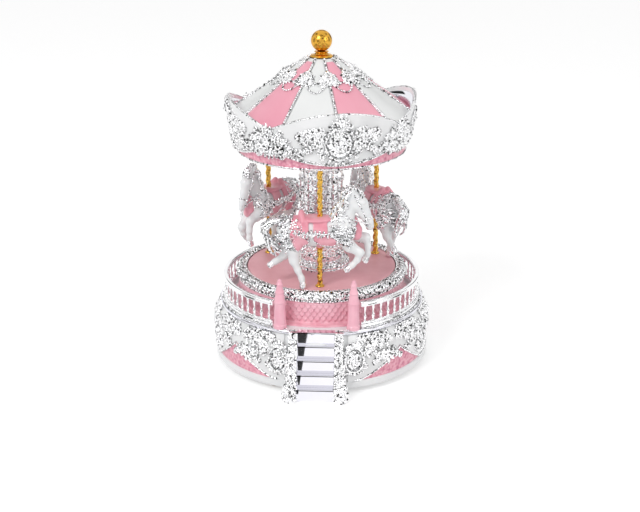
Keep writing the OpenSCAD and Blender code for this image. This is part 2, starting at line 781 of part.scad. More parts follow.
// The arbor from the key to the spring, with the spring's hook
module winding_arbor() {
    color("silver") {
        translate([0, 0, 3.05]) cylinder(d = arbor_d, h = barrel_top_z - barrel_wall - 4.5);
        translate([0, 0, barrel_z + 3]) rotate([0, 90, 20]) cylinder(r = 0.5, h = arbor_d / 2 + 0.8);
    }
}

// The barrel that holds the spring, with the wheel that drives the cylinder
module spring_barrel() {
    r = barrel_d / 2;
    h = barrel_top_z - barrel_z - lid_t;
    color("gold") difference() {
        union() {
            translate([0, 0, barrel_z]) cylinder(r = r, h = h);
            translate([0, 0, wheel_z - wheel_t / 2]) linear_extrude(wheel_t)
                wheel_outline(barrel_teeth, wheel_r - 0.5, wheel_r + 0.45, 0.44);
        }
        translate([0, 0, barrel_z + 1.4]) cylinder(r = r - barrel_wall, h = h);
        cylinder(r = arbor_d / 2 + running_gap, h = far);
    }
}

// The barrel's lid, which carries the output shaft
module barrel_lid() {
    color("gold") translate([0, 0, barrel_top_z - lid_t + seat_gap]) difference() {
        cylinder(r = barrel_d / 2, h = lid_t - seat_gap);
        translate([0, 0, -1]) cylinder(r = shaft_d / 2 + press_gap, h = 4);
    }
}

// A flat strip wound in a spiral from r0 to r1
module spiral(r0, r1, turns, t) {
    n = 20 * turns;
    polygon(concat(
        [for (i = [0:n]) let (r = r0 + (r1 - r0) * i / n) [r * cos(18 * i), r * sin(18 * i)]],
        [for (i = [n:-1:0]) let (r = r0 + t + (r1 - r0) * i / n) [r * cos(18 * i), r * sin(18 * i)]]));
}

// The mainspring, wound round the arbor inside the barrel
module mainspring() {
    strip_t = 0.35;
    outer_r = barrel_d / 2 - barrel_wall - strip_t - seat_gap;
    color("steelblue") translate([0, 0, barrel_z + 1.8])
        linear_extrude(barrel_top_z - barrel_z - 3.8) spiral(arbor_d / 2 + 1.2, outer_r, 7, strip_t);
}

// The shaft that turns the turntable's hub
module output_shaft() {
    color("silver") translate([0, 0, barrel_top_z - lid_t + seat_gap])
        cylinder(d = shaft_d, h = shaft_top_z - barrel_top_z + lid_t - seat_gap);
}

// The disc with its hub and the ribs under it
module turntable() {
    color("rosybrown") difference() {
        union() {
            rotate_extrude() polygon([
                [0, hub_z], [hub_d / 2, hub_z], [hub_d / 2, hub_top_z - 2], [hub_d / 2 + 2, hub_top_z],
                [disc_r - 1.2, hub_top_z], [disc_r - 1.2, hub_top_z - 1.2], [disc_r, hub_top_z - 1.2],
                [disc_r, disc_z - 0.4], [disc_r - 0.4, disc_z], [0, disc_z]]);
            for (i = [0:2 * horse_count - 1]) face(pole_deg + (i + 0.5) * 180 / horse_count)
                translate([hub_d / 2 - 0.5, -0.6, hub_top_z - 3])
                cube([disc_r - hub_d / 2 - 1, 1.2, 3.2]);
        }
        translate([0, 0, hub_z - 1]) cylinder(r = shaft_d / 2 + press_gap, h = shaft_top_z - hub_z + 1.2);
        cylinder(r = rod_core_r + seat_gap, h = far);
        for (i = [0:horse_count - 1]) face(pole_deg + i * 360 / horse_count)
            translate([pole_r, 0, hub_top_z - 2]) cylinder(r = rod_d / 2 + rod_gap, h = disc_t + 4);
    }
}

// The turned foot of the column
module column_base() {
    r = column_base_d / 2;
    h = column_base_h;
    color("silver") translate([0, 0, disc_z + seat_gap]) rotate_extrude() polygon([
        [column_bore_d / 2, 0], [r, 0], [r, 0.8], [r - 0.7, 1.2], [r - 0.7, 1.8], [r - 1.6, 2.4],
        [r - 2.6, 2.8], [column_d / 2 + 0.6, h - 0.5], [column_d / 2 + 0.6, h - seat_gap],
        [column_bore_d / 2, h - seat_gap]]);
}

// The column's fluted shaft
module column() {
    r = column_d / 2;
    flute_r = r * sin(180 / flute_count) * 0.8;
    flute_end = 3;
    color("silver") translate([0, 0, column_z + seat_gap]) difference() {
        tube(r, column_bore_d / 2, capital_z - column_z - 2 * seat_gap);
        for (i = [0:flute_count - 1]) rotate([0, 0, i * 360 / flute_count])
            translate([r + flute_r - flute_depth, 0, flute_end])
                cylinder(r = flute_r, h = capital_z - column_z - 2 * flute_end);
    }
}

// The column's capital, with dentils under its edge
module column_capital() {
    r = capital_d / 2;
    c = column_d / 2;
    h = capital_h;
    dentils = 24;
    color("silver") translate([0, 0, capital_z]) {
        rotate_extrude() polygon([
            [column_bore_d / 2, 0], [c + 0.5, 0], [c + 0.9, 0.6], [c + 0.4, 1.2], [c + 0.7, h - 3.4],
            [r - 0.6, h - 2.6], [r - 0.6, h - 1.2], [r, h - 1.2], [r, h - seat_gap],
            [column_bore_d / 2, h - seat_gap]]);
        for (i = [0:dentils - 1]) rotate([0, 0, i * 360 / dentils])
            translate([r - 1.2, -0.55, h - 2.9]) cube([0.95, 1.1, 1.9]);
    }
}

// The rod from the hub up through the column to the ball
module centre_rod() {
    z0 = shaft_top_z + 0.6;
    color("silver") translate([0, 0, z0]) cylinder(r = rod_core_r, h = ball_z - z0);
}

// The disc that closes the canopy from below
module ceiling_disc() {
    r = canopy_rim_r + skirt_lean * ceiling_inset - band_wall;
    color("ghostwhite") translate([0, 0, ceiling_z]) difference() {
        cylinder(r1 = r - 0.05, r2 = r - 0.05 + skirt_lean * ceiling_t, h = ceiling_t);
        translate([0, 0, -1]) cylinder(r = rod_core_r + seat_gap, h = far);
        for (i = [0:horse_count - 1]) face(pole_deg + i * 360 / horse_count)
            translate([pole_r, 0, -1]) cylinder(r = rod_d / 2 + rod_gap, h = far);
    }
}

// Height of the roof's surface at the radius r
function roof_z(r) = roof_top_z - roof_slope * (r - roof_top_r);

// The conical roof shell on the band
module canopy_roof() {
    color("ghostwhite") rotate_extrude() polygon([
        [rod_core_r + seat_gap, roof_top_z - roof_t], [roof_top_r - 0.6, roof_top_z - roof_t],
        [eave_r - band_wall - 0.6, roof_z(eave_r - band_wall - 0.6) - roof_t * 1.3],
        [eave_r - band_wall - 0.6, band_top_z + seat_gap], [eave_r, band_top_z + seat_gap], [eave_r, eave_z],
        [roof_top_r, roof_top_z], [rod_core_r + seat_gap, roof_top_z]]);
}

// The coloured panels, on every second field of the roof
module roof_panels() {
    step = 360 / roof_panels_count;
    r0 = roof_top_r + 2;
    r1 = eave_r - 0.4;
    slot_w = rib_d + 0.2;
    color("lightpink") for (i = [1:2:roof_panels_count - 1]) difference() {
        face(canopy_deg + i * step) rotate_extrude(angle = step, $fn = fine) polygon([
            [r0, roof_z(r0) + seat_gap], [r1, roof_z(r1) + seat_gap],
            [r1, roof_z(r1) + panel_t], [r0, roof_z(r0) + panel_t]]);
        for (k = [i, i + 1]) face(canopy_deg + k * step)
            translate([0, -slot_w / 2, eave_z]) cube([far, slot_w, far]);
    }
}

// The roof's ribs, each with a flower
module roof_trim() {
    slope_deg = atan(roof_slope);
    length = (eave_r - roof_top_r - 1.8) / cos(slope_deg);
    bow_r = eave_r * 0.42;
    color("silver") for (i = [0:roof_panels_count - 1]) face(canopy_deg + i * 360 / roof_panels_count)
        translate([roof_top_r + 0.6, 0, roof_z(roof_top_r + 0.6)]) rotate([0, slope_deg, 0]) {
            translate([0, 0, rib_d / 2 + seat_gap]) rotate([0, 90, 0]) cylinder(d = rib_d, h = length);
            translate([(bow_r - roof_top_r) / cos(slope_deg), 0, panel_t + 0.3]) {
                for (a = [0:72:359]) rotate([0, 0, a]) translate([1.9, 0, 0]) cylinder(r = 1.35, h = 1.6);
                cylinder(r = 1.3, h = 2.4);
            }
        }
}

// Radius of the skirt's inner face at a height above the rim
function skirt_r(h) = canopy_rim_r + skirt_lean * h;

// A leaning cone at the distance d from the skirt's inner face
module skirt_cone(d) {
    top = lobe_top_h + 6;
    translate([0, 0, canopy_z - 2])
        cylinder(r1 = skirt_r(-2) + d, r2 = skirt_r(top) + d, h = top + 2, $fn = fine);
}

// The band under the roof, which the skirt stands round
module canopy_band() {
    color("pink") rotate_extrude() polygon([
        [canopy_rim_r - band_wall, canopy_z], [canopy_rim_r, canopy_z], [canopy_rim_r + 0.3, canopy_z + 0.5],
        [skirt_r(1.2), canopy_z + 1.2], [band_top_r, band_top_z], [band_top_r - band_wall, band_top_z]]);
}

// Half the width of a skirt panel
lobe_half = skirt_r(valley_h) * sin(180 / lobe_count);

// The space of one skirt panel between its upper and its lower arc
module lens(deg) {
    top_arc = arc_r(lobe_half, lobe_top_h - valley_h);
    foot_arc = arc_r(lobe_half, valley_foot_h - lobe_foot_h);
    face(deg) intersection() {
        translate([0, 0, canopy_z + lobe_top_h - top_arc]) rotate([0, 90, 0])
            cylinder(r = top_arc, h = far, $fn = fine);
        translate([0, 0, canopy_z + lobe_foot_h + foot_arc]) rotate([0, 90, 0])
            cylinder(r = foot_arc, h = far, $fn = fine);
    }
}

// The lens-shaped panels that stand round the band
module canopy_skirt() {
    color("ghostwhite") for (i = [0:lobe_count - 1]) intersection() {
        difference() {
            skirt_cone(skirt_t);
            skirt_cone(seat_gap);
        }
        lens(canopy_deg + i * 360 / lobe_count);
    }
}

// Puts its child on the skirt's outer face at a direction and a height above the rim, facing +X
module on_skirt(deg, h) {
    face(deg) translate([skirt_r(h) + skirt_t, 0, canopy_z + h]) rotate([0, atan(skirt_lean), 0]) children();
}

// The cast cartouches in the middle of the skirt's panels
module skirt_cartouches() {
    mid_h = lobe_foot_h + cartouche_h;
    color("silver") difference() {
        for (i = [0:lobe_count - 1]) on_skirt(canopy_deg + i * 360 / lobe_count, mid_h) {
            plaque(6.4, 8.4, 2.6);
            translate([0, 0, 9.4]) rosette(3.6, 2.2, 6);
            for (side = [-1, 1]) translate([0, side * 8.2, 0]) rosette(3.2, 1.9, 6);
        }
        skirt_cone(skirt_t + seat_gap);
    }
}

// The cast shells over the valleys between the panels
module valley_shells() {
    mid_h = (valley_h + valley_foot_h) / 2 - 1.4;
    color("silver") difference() {
        for (i = [0:lobe_count - 1]) on_skirt(canopy_deg + (i + 0.5) * 360 / lobe_count, mid_h) {
            plaque(4, 5.4, 2.2);
            for (side = [-1, 1]) translate([0, side * 6.2, 1.4]) rosette(3.2, 1.7, 6);
        }
        skirt_cone(skirt_t + seat_gap);
    }
}

// The turned flange under the ball
module finial_flange() {
    r = flange_d / 2;
    h = flange_h;
    color("gold") translate([0, 0, roof_top_z + seat_gap]) rotate_extrude() polygon([
        [rod_core_r + seat_gap, 0], [r, 0], [r, 0.7], [r - 0.8, 1.3], [r - 2.4, 1.7], [r - 3, h - 1],
        [r - 2.2, h - 0.5], [r - 2.6, h - 0.2], [rod_core_r + seat_gap, h - 0.2]]);
}

// The ball, bored for the centre rod
module finial_ball() {
    color("gold") difference() {
        translate([0, 0, ball_z]) sphere(d = ball_d);
        translate([0, 0, ball_z - ball_d]) cylinder(r = rod_core_r + seat_gap, h = ball_d + 0.1);
        translate([0, 0, roof_top_z]) cylinder(r = ball_d, h = flange_h - 0.17);
    }
}

// A limb through points [x, y, height, radius], heights counted from the belly
module limb(points) {
    for (i = [0:len(points) - 2]) hull() {
        for (p = [points[i], points[i + 1]]) translate([p[0], p[1], belly_h + p[2] * body_k])
            sphere(r = p[3], $fn = 10);
    }
}

// Rings of the trunk, from the rump to the chest: [x, height, half width, half height]
trunk = [[-22, 8, 1.8, 2], [-21, 8, 3.4, 4], [-18.5, 8, 5.4, 6.2], [-15, 8, 6.2, 7.2], [-8, 7.4, 6.1, 7.1],
    [0, 7, 6, 7], [7, 7.5, 6.1, 7.1], [12, 8.8, 5.9, 6.9], [16, 8.8, 4.8, 5.6], [18.2, 8.8, 2.6, 3.2]];

// Rings of the neck and head: [x, height, direction, half width, half height]
neck = [[11.2, 11, 72, 4.6, 6.2], [12.6, 16, 72, 3.6, 4.8], [13.9, 20.2, 68, 2.9, 3.8],
    [15.8, 25.2, 30, 2.6, 4], [18.7, 25.8, -8, 2.6, 4.2], [21, 24, -48, 2.8, 3.9],
    [22.9, 18.8, -62, 2.3, 3.3], [24.6, 14.2, -66, 1.7, 2.5], [25.6, 11.2, -69, 1.5, 2],
    [26.1, 9.6, -69, 0.9, 1.2]];

// The trunk, moved out by d
module trunk_skin(d) {
    loft([for (s = trunk) ring(s[0], belly_h + s[1] * body_k, 0, s[2] + d, s[3] * body_k + d, 0, 16)]);
}

// The neck and head, moved out by d
module neck_skin(d) {
    loft([for (s = neck) ring(s[0], belly_h + s[1] * body_k, s[2], s[3] + d, s[4] * body_k + d)]);
}

// Legs, from the body down to the hoof: [x, y, height, radius]
near_hind = [[-14.5, -2.6, 6, 5.2], [-13.6, -3.5, -0.8, 3.8], [-13.2, -3.7, -7, 2.4],
    [-11.2, -3.7, -12.4, 1.6], [-9.4, -3.7, -16.6, 1.5], [-8.7, -3.7, -20.2, 1.7]];
far_hind = [[-15, 2.6, 6.2, 5], [-16.2, 3.4, -1.6, 3.4], [-18.2, 3.6, -6.6, 2.2], [-21.2, 3.6, -9.2, 1.5],
    [-23.2, 3.6, -10.4, 1.5], [-25.8, 3.6, -12.2, 1.7]];
near_fore = [[11.4, -3, 6, 4.6], [15.2, -3.7, 1, 3], [20.6, -3.9, -2.4, 2.1], [19.2, -3.9, -6.5, 1.5],
    [16.8, -3.9, -9.2, 1.4], [13.8, -3.9, -11.8, 1.7]];
far_fore = [[12.4, 3, 7.2, 4.6], [17.6, 3.6, 4.4, 2.9], [23.6, 3.8, 3.2, 2.2], [24.7, 3.8, -2, 1.5],
    [24.6, 3.8, -5.8, 1.4], [23.3, 3.8, -9.4, 1.7]];

// The tail and the mane, in the same way
tail = [[-19.5, 0, 13.4, 1.8], [-23.4, 0, 14, 2.2], [-27.4, 0, 10, 2.7], [-27.6, 0, 4, 2.6],
    [-24.8, 0, -2.4, 2.2], [-22.4, 0, -6, 1]];
mane = [[7.8, 0, 13.6, 1.6], [8.4, 0, 20, 2.4], [11.2, 0, 26.4, 2.3], [15.8, 0, 29.4, 2],
    [20.8, 0, 28, 1.2]];

// A limb, moved out by d
module thicker(part, d) {
    limb([for (p = part) [p[0], p[1], p[2], p[3] + d]]);
}

// The trunk with the tops of the legs, moved out by d
module flank(d) {
    trunk_skin(d);
    for (leg = [near_hind, far_hind, near_fore, far_fore]) thicker([leg[0], leg[1]], d);
}

// The ways through a horse and its saddle for the pole's sleeves and rod
module pole_ways() {
    translate([0, 0, seat_h]) cylinder(r = pole_d, h = far, $fn = 16);
    translate([0, 0, -1]) cylinder(r = pole_d, h = belly_h + 1.2, $fn = 16);
    cylinder(r = rod_d / 2 + rod_gap, h = far, $fn = 16);
}

// One leaping horse at its pole, the pole's axis at x = y = 0 and the nose towards +X
module horse() {
    difference() {
        union() {
            trunk_skin(0);
            neck_skin(0);
            for (part = [near_hind, far_hind, near_fore, far_fore, tail, mane]) limb(part);
            for (side = [-1, 1]) limb([[16.6, side * 1.7, 28.8, 1], [16.4, side * 2.3, 31.4, 0.4]]);
        }
        translate([0, 0, seat_h - saddle_sink]) cylinder(r = pole_d, h = far, $fn = 16);
        pole_ways();
    }
}

// Side outlines of the blanket's two pads and the girth, [x, height above the belly]
front_pad = [[-3.6, 20], [-3, 4.6], [1, 1.8], [6.5, 1.2], [9.6, 3.2], [7.8, 6.6], [6.2, 9.6], [7, 20]];
rear_pad = [[-13.6, 20], [-15.4, 11.6], [-15, 6.6], [-12.6, 0.6], [-10.8, -1], [-7.6, 1.8],
    [-5.6, 2.8], [-5.2, 8.6], [-6, 20]];
girth = [[-1.6, 7.6], [-1.4, -2.4], [1.4, -2.4], [1.6, 7.6]];

// The saddle's high back, front and seat: [x, y, height above the seat, radius]
cantle = [[-8.4, -3.2, -0.8, 1.3], [-9.8, 0, 2.4, 1.5], [-8.4, 3.2, -0.8, 1.3]];
pommel = [[5.4, -2, -1, 1], [6.4, 0, 1, 1.1], [5.4, 2, -1, 1]];
seat_pad = [[-8, 0, -0.8, 2], [6, 0, -1.2, 1.6]];

// A prism across the horse from a side outline
module across(outline) {
    translate([0, 20, belly_h]) rotate([90, 0, 0]) linear_extrude(40)
        polygon([for (p = outline) [p[0], p[1] * body_k]]);
}

// A saddle: blanket and girth close to the body, and a seat with a high back
module saddle() {
    difference() {
        union() {
            intersection() {
                flank(blanket_t);
                union() {
                    across(front_pad);
                    across(rear_pad);
                    across(girth);
                }
            }
            translate([0, 0, seat_h]) for (p = [cantle, pommel, seat_pad], i = [0:len(p) - 2]) hull() {
                for (q = [p[i], p[i + 1]]) translate([q[0], q[1], q[2]]) sphere(r = q[3], $fn = 10);
            }
        }
        flank(saddle_gap);
        neck_skin(saddle_gap);
        thicker(mane, saddle_gap);
        pole_ways();
    }
}

// Puts its child at pole i on the turntable, its +X along the way round
module at_pole(i) {
    face(pole_deg + i * 360 / horse_count) translate([pole_r, 0, disc_z]) rotate([0, 0, 90]) children();
}

// The three horses and their saddles, each at its pole
module horse_front() { color("white") at_pole(0) horse(); }
module horse_left() { color("white") at_pole(2) horse(); }
module horse_right() { color("white") at_pole(1) horse(); }
module saddle_front() { color("palevioletred") at_pole(0) saddle(); }
module saddle_left() { color("palevioletred") at_pole(2) saddle(); }
module saddle_right() { color("palevioletred") at_pole(1) saddle(); }

// A twisted length of pole from z0 to z1, bored for its rod
module twisted(z0, z1) {
    h = z1 - z0;
    r = pole_d / 2;
    turns = h / 9;
    difference() {
        translate([0, 0, z0]) linear_extrude(h, twist = 360 * turns, slices = ceil(turns * 10), $fn = 8)
            polygon([for (i = [0:7]) let (q = i % 2 == 0 ? r : r * 0.8) [q * cos(45 * i), q * sin(45 * i)]]);
        translate([0, 0, z0 - 1]) cylinder(r = rod_d / 2 + seat_gap, h = h + 2);
    }
}

// A bored ring or cone on a pole
module collar(z, h, r0, r1) {
    translate([0, 0, z]) difference() {
        cylinder(r1 = r0, r2 = r1, h = h);
        translate([0, 0, -1]) cylinder(r = rod_d / 2 + seat_gap, h = h + 2);
    }
}

// The gilt sleeves from the turntable up to the horses
module lower_sleeves() {
    top = belly_h - 0.1;
    color("gold") for (i = [0:horse_count - 1]) at_pole(i) {
        collar(seat_gap, 0.9, pole_flange_d / 2, pole_flange_d / 2);
        twisted(0.9, top - 1.8);
        collar(top - 1.8, 1.8, pole_d / 2, pole_flange_d / 2);
    }
}

// The gilt sleeves from the saddles up to the ceiling
module upper_sleeves() {
    top = ceiling_z - disc_z - seat_gap;
    color("gold") for (i = [0:horse_count - 1]) at_pole(i) {
        collar(seat_h + seat_gap, 0.8, pole_d / 2 + 0.4, pole_d / 2 + 0.4);
        twisted(seat_h + 0.8, top);
    }
}

// The steel rods in the poles
module pole_rods() {
    z0 = hub_top_z - disc_z - 2.4;
    z1 = ceiling_z + ceiling_t - disc_z + 2.4;
    color("silver") for (i = [0:horse_count - 1]) at_pole(i)
        translate([0, 0, z0]) cylinder(d = rod_d, h = z1 - z0);
}

// The nuts under the turntable and over the ceiling
module rod_nuts() {
    nut_h = 1.6;
    below = -disc_t - nut_h - seat_gap;
    above = ceiling_z + ceiling_t - disc_z + seat_gap;
    color("silver") for (i = [0:horse_count - 1], z = [below, above])
        at_pole(i) translate([0, 0, z]) difference() {
            cylinder(r = 2.2, h = nut_h, $fn = 6);
            translate([0, 0, -1]) cylinder(r = rod_d / 2 + seat_gap, h = 4);
        }
}

// The pinned cylinder, two pins to each note
module pin_cylinder() {
    rows = 12;
    r = cylinder_d / 2;
    pin_r = 0.2;
    pitch = comb_w / note_count;
    color("gold") translate([cylinder_x, 0, cylinder_z]) rotate([0, 90, 0]) {
        cylinder(r = r, h = cylinder_l - seat_gap);
        for (i = [0:note_count - 1], k = [0:1])
            rotate([0, 0, 15 + (i * 7 + k * 5) % rows * 360 / rows])
                translate([r - pin_r, 0, comb_edge + (i + 0.5) * pitch]) rotate([0, 90, 0])
                    cylinder(r = pin_r, h = pin_r + 0.45);
    }
}

// The crown wheel at one end of the cylinder, and the governor's drive at the other
module cylinder_wheels() {
    color("goldenrod") translate([0, 0, cylinder_z]) {
        translate([crown_x, 0, 0]) rotate([0, 90, 0]) cylinder(r = crown_r + 0.8, h = crown_t);
        for (i = [0:crown_teeth - 1]) rotate([(i + 0.5) * 360 / crown_teeth, 0, 0])
            translate([crown_x - 0.85, -0.33, crown_r - 0.6]) cube([1, 0.66, 1.2]);
        translate([cylinder_wheel_x, 0, 0]) rotate([0, 90, 0]) linear_extrude(1.5)
            wheel_outline(cylinder_wheel_teeth, cylinder_wheel_r - 0.38, cylinder_wheel_r + 0.3, 0.5);
        translate([cylinder_wheel_x, 0, 0]) rotate([0, 90, 0])
            cylinder(r = journal_r, h = outer_bearing_x - cylinder_wheel_x + bracket_t + 0.6);
        translate([cylinder_end_x + seat_gap, 0, 0]) rotate([0, 90, 0])
            cylinder(r = 4, h = cylinder_wheel_x - cylinder_end_x);
    }
}

// The governor's pinion and worm wheel on one arbor
module governor_wheel() {
    color("goldenrod") translate([0, gov_y, cylinder_z]) {
        translate([cylinder_wheel_x - 0.1, 0, 0]) rotate([0, 90, 0]) linear_extrude(1.7)
            rotate([0, 0, 180 / pinion_teeth])
                wheel_outline(pinion_teeth, pinion_r - 0.38, pinion_r + 0.28, 0.44);
        translate([worm_wheel_x, 0, 0]) rotate([0, 90, 0]) linear_extrude(1.2)
            wheel_outline(worm_wheel_teeth, worm_wheel_r - 0.35, worm_wheel_r + 0.25, 0.44);
        translate([gov_arbor_x - 0.2, 0, 0]) rotate([0, 90, 0])
            cylinder(r = gov_arbor_r, h = gov_bearing_x - gov_arbor_x + bracket_t + 0.4);
    }
}

// The worm and the fly on one upright arbor
module governor_fly() {
    lead = 2 * PI * worm_wheel_r / worm_wheel_teeth;
    turns = 4;
    color("silver") translate([worm_wheel_x + 0.6, worm_y, 0]) rotate([0, 0, worm_deg]) {
        translate([0, 0, plate_top_z + 0.3]) cylinder(r = fly_arbor_r, h = fly_top_z - plate_top_z + 0.2);
        translate([0, 0, cylinder_z - turns * lead / 2])
            linear_extrude(turns * lead, twist = -360 * turns, slices = 12 * turns, $fn = 10) polygon([
                for (i = [0:9]) let (q = i < 3 ? worm_r + 0.2 : worm_r - 0.4)
                    [q * cos(36 * i), q * sin(36 * i)]]);
        translate([-3.6, -0.25, cylinder_z + worm_wheel_r + 0.8])
            cube([7.2, 0.5, fly_top_z - cylinder_z - worm_wheel_r - 1.8]);
    }
}

base_shell();
base_panels();
base_spandrels();
base_relief();
bottom_cover();
cover_screws();
foot_pads();
stair_steps();
stair_stringer_left();
stair_stringer_right();
platform_drum();
cornice_ring();
railing();
gate_post_left();
gate_post_right();
movement_plate();
comb();
comb_screws();
cylinder_bracket();
governor_bracket();
movement_screws();
winding_key();
winding_arbor();
spring_barrel();
barrel_lid();
mainspring();
output_shaft();
turntable();
column_base();
column();
column_capital();
centre_rod();
ceiling_disc();
canopy_roof();
roof_panels();
roof_trim();
canopy_band();
canopy_skirt();
skirt_cartouches();
valley_shells();
finial_flange();
finial_ball();
horse_front();
horse_left();
horse_right();
saddle_front();
saddle_left();
saddle_right();
lower_sleeves();
upper_sleeves();
pole_rods();
rod_nuts();
pin_cylinder();
cylinder_wheels();
governor_wheel();
governor_fly();
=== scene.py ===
import math

import bpy
import numpy as np
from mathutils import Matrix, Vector


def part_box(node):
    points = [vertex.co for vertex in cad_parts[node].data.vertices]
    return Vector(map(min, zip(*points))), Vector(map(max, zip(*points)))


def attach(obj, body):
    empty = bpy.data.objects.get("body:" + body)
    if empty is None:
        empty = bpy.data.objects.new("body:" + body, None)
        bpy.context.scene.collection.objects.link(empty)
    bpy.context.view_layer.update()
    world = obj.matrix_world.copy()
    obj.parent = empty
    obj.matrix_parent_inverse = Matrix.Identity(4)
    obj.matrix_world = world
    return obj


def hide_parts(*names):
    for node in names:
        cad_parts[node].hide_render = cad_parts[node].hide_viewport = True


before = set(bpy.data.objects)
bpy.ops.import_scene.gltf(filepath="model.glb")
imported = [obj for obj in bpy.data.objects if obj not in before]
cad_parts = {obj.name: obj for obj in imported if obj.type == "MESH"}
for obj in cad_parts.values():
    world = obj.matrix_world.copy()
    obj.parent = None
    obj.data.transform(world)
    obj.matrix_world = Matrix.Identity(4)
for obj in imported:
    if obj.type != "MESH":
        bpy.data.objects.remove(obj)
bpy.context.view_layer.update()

# Studio: a camera a little above the canopy, a white sweep, and two soft lamps in a white room.
# Black cards out of view give the plated parts their dark lines. Sizes are in millimetres.
MM = 0.001
CAMERA_AWAY = 643.0 * MM
CAMERA_HEIGHT = 290.2 * MM
CAMERA_SIDE_DEG = 2.9
CAMERA_DOWN_DEG = 20.09
PICTURE_W = 640
SENSOR_W = 36
FOCAL_PX = 1260.4
AXIS_OFF_PX = 1.49

side = math.radians(CAMERA_SIDE_DEG)
camera_data = bpy.data.cameras.new("camera")
camera_data.sensor_width = SENSOR_W
camera_data.lens = FOCAL_PX / PICTURE_W * SENSOR_W
camera_data.shift_x = -AXIS_OFF_PX / PICTURE_W
camera_data.clip_start = 0.01
camera = bpy.data.objects.new("camera", camera_data)
camera.location = (math.sin(side) * CAMERA_AWAY, -math.cos(side) * CAMERA_AWAY, CAMERA_HEIGHT)
camera.rotation_euler = (math.radians(90 - CAMERA_DOWN_DEG), 0, side)
bpy.context.scene.collection.objects.link(camera)
bpy.context.scene.camera = camera
bpy.context.scene.view_settings.view_transform = "Standard"


def seen_by(tree, rays):
    """1 for the named kinds of ray and 0 for all others."""
    path = tree.nodes.new("ShaderNodeLightPath")
    seen = path.outputs[rays[0]]
    for ray in rays[1:]:
        either = tree.nodes.new("ShaderNodeMath")
        either.operation = "MAXIMUM"
        tree.links.new(seen, either.inputs[0])
        tree.links.new(path.outputs[ray], either.inputs[1])
        seen = either.outputs[0]
    return seen


WALL_LEVEL = 0.62
world = bpy.data.worlds.new("white_room")
bpy.context.scene.world = world
world.use_nodes = True
air = world.node_tree
background = air.nodes["Background"]
background.inputs["Color"].default_value = (1, 1, 1, 1)
level = air.nodes.new("ShaderNodeMapRange")
level.inputs["To Min"].default_value = WALL_LEVEL
level.inputs["To Max"].default_value = 1.0
seen = seen_by(air, ("Is Camera Ray", "Is Glossy Ray", "Is Transmission Ray"))
air.links.new(seen, level.inputs["Value"])
air.links.new(level.outputs[0], background.inputs["Strength"])
LAMP_AIM = (0, 0, 0.08)


def lamp(name, at, size, watts):
    """A round soft lamp, in metres, that looks at the middle of the object."""
    data = bpy.data.lights.new(name, "AREA")
    data.shape = "DISK"
    data.size = size
    data.energy = watts
    lit = bpy.data.objects.new(name, data)
    lit.location = at
    lit.rotation_euler = (Vector(LAMP_AIM) - Vector(at)).to_track_quat("-Z", "Y").to_euler()
    bpy.context.scene.collection.objects.link(lit)


lamp("key_lamp", (-0.55, -0.75, 0.85), 0.5, 5.2)
lamp("fill_lamp", (0.7, -0.45, 0.5), 0.6, 1.6)


def finish_of(name, colour, roughness, metallic=0.0):
    """A node material with its plain values set on the shader itself, its tree and its shader."""
    made = bpy.data.materials.new(name)
    made.use_nodes = True
    shader = made.node_tree.nodes["Principled BSDF"]
    shader.inputs["Base Color"].default_value = (*colour, 1)
    shader.inputs["Roughness"].default_value = roughness
    shader.inputs["Metallic"].default_value = metallic
    return made, made.node_tree, shader


def mesh_object(name, points, faces, material, smooth=True):
    """A mesh object at the origin from points in millimetres."""
    mesh = bpy.data.meshes.new(name)
    points = np.asarray(points, float) * MM
    mesh.from_pydata(points.tolist(), [], [tuple(f) for f in faces])
    mesh.validate()
    mesh.update()
    if smooth:
        mesh.shade_smooth()
    mesh.materials.append(material)
    made = bpy.data.objects.new(name, mesh)
    bpy.context.scene.collection.objects.link(made)
    return made


FLOOR_SIZE = 6000
FLOOR_GLOW = 0.40
CORNERS = ((-1, -1), (1, -1), (1, 1), (-1, 1))
floor_white, tree, shader = finish_of("white_sweep", (0.82, 0.82, 0.82), 0.9)
glow = tree.nodes.new("ShaderNodeMath")
glow.operation = "MULTIPLY"
glow.inputs[1].default_value = FLOOR_GLOW
tree.links.new(seen_by(tree, ("Is Camera Ray", "Is Glossy Ray")), glow.inputs[0])
tree.links.new(glow.outputs[0], shader.inputs["Emission Strength"])
shader.inputs["Emission Color"].default_value = (1, 1, 1, 1)
floor_corners = [(x * FLOOR_SIZE / 2, y * FLOOR_SIZE / 2, 0) for x, y in CORNERS]
floor = mesh_object("floor", floor_corners, [(0, 1, 2, 3)], floor_white, smooth=False)

MIDDLE_H = 80
card_black, tree, shader = finish_of("black_card", (0.01, 0.01, 0.01), 0.9)


def card(name, at, w, h, facing=(0, 0, MIDDLE_H)):
    """A black card facing the object or another spot, seen only in reflections."""
    place = Vector(at)
    turn = (Vector(facing) - place).to_track_quat("Z", "Y")
    corners = [turn @ Vector((x * w / 2, y * h / 2, 0)) + place for x, y in CORNERS]
    made = mesh_object(name, [tuple(c) for c in corners], [(0, 1, 2, 3)], card_black, smooth=False)
    made.visible_camera = False
    made.visible_diffuse = False
    made.visible_shadow = False


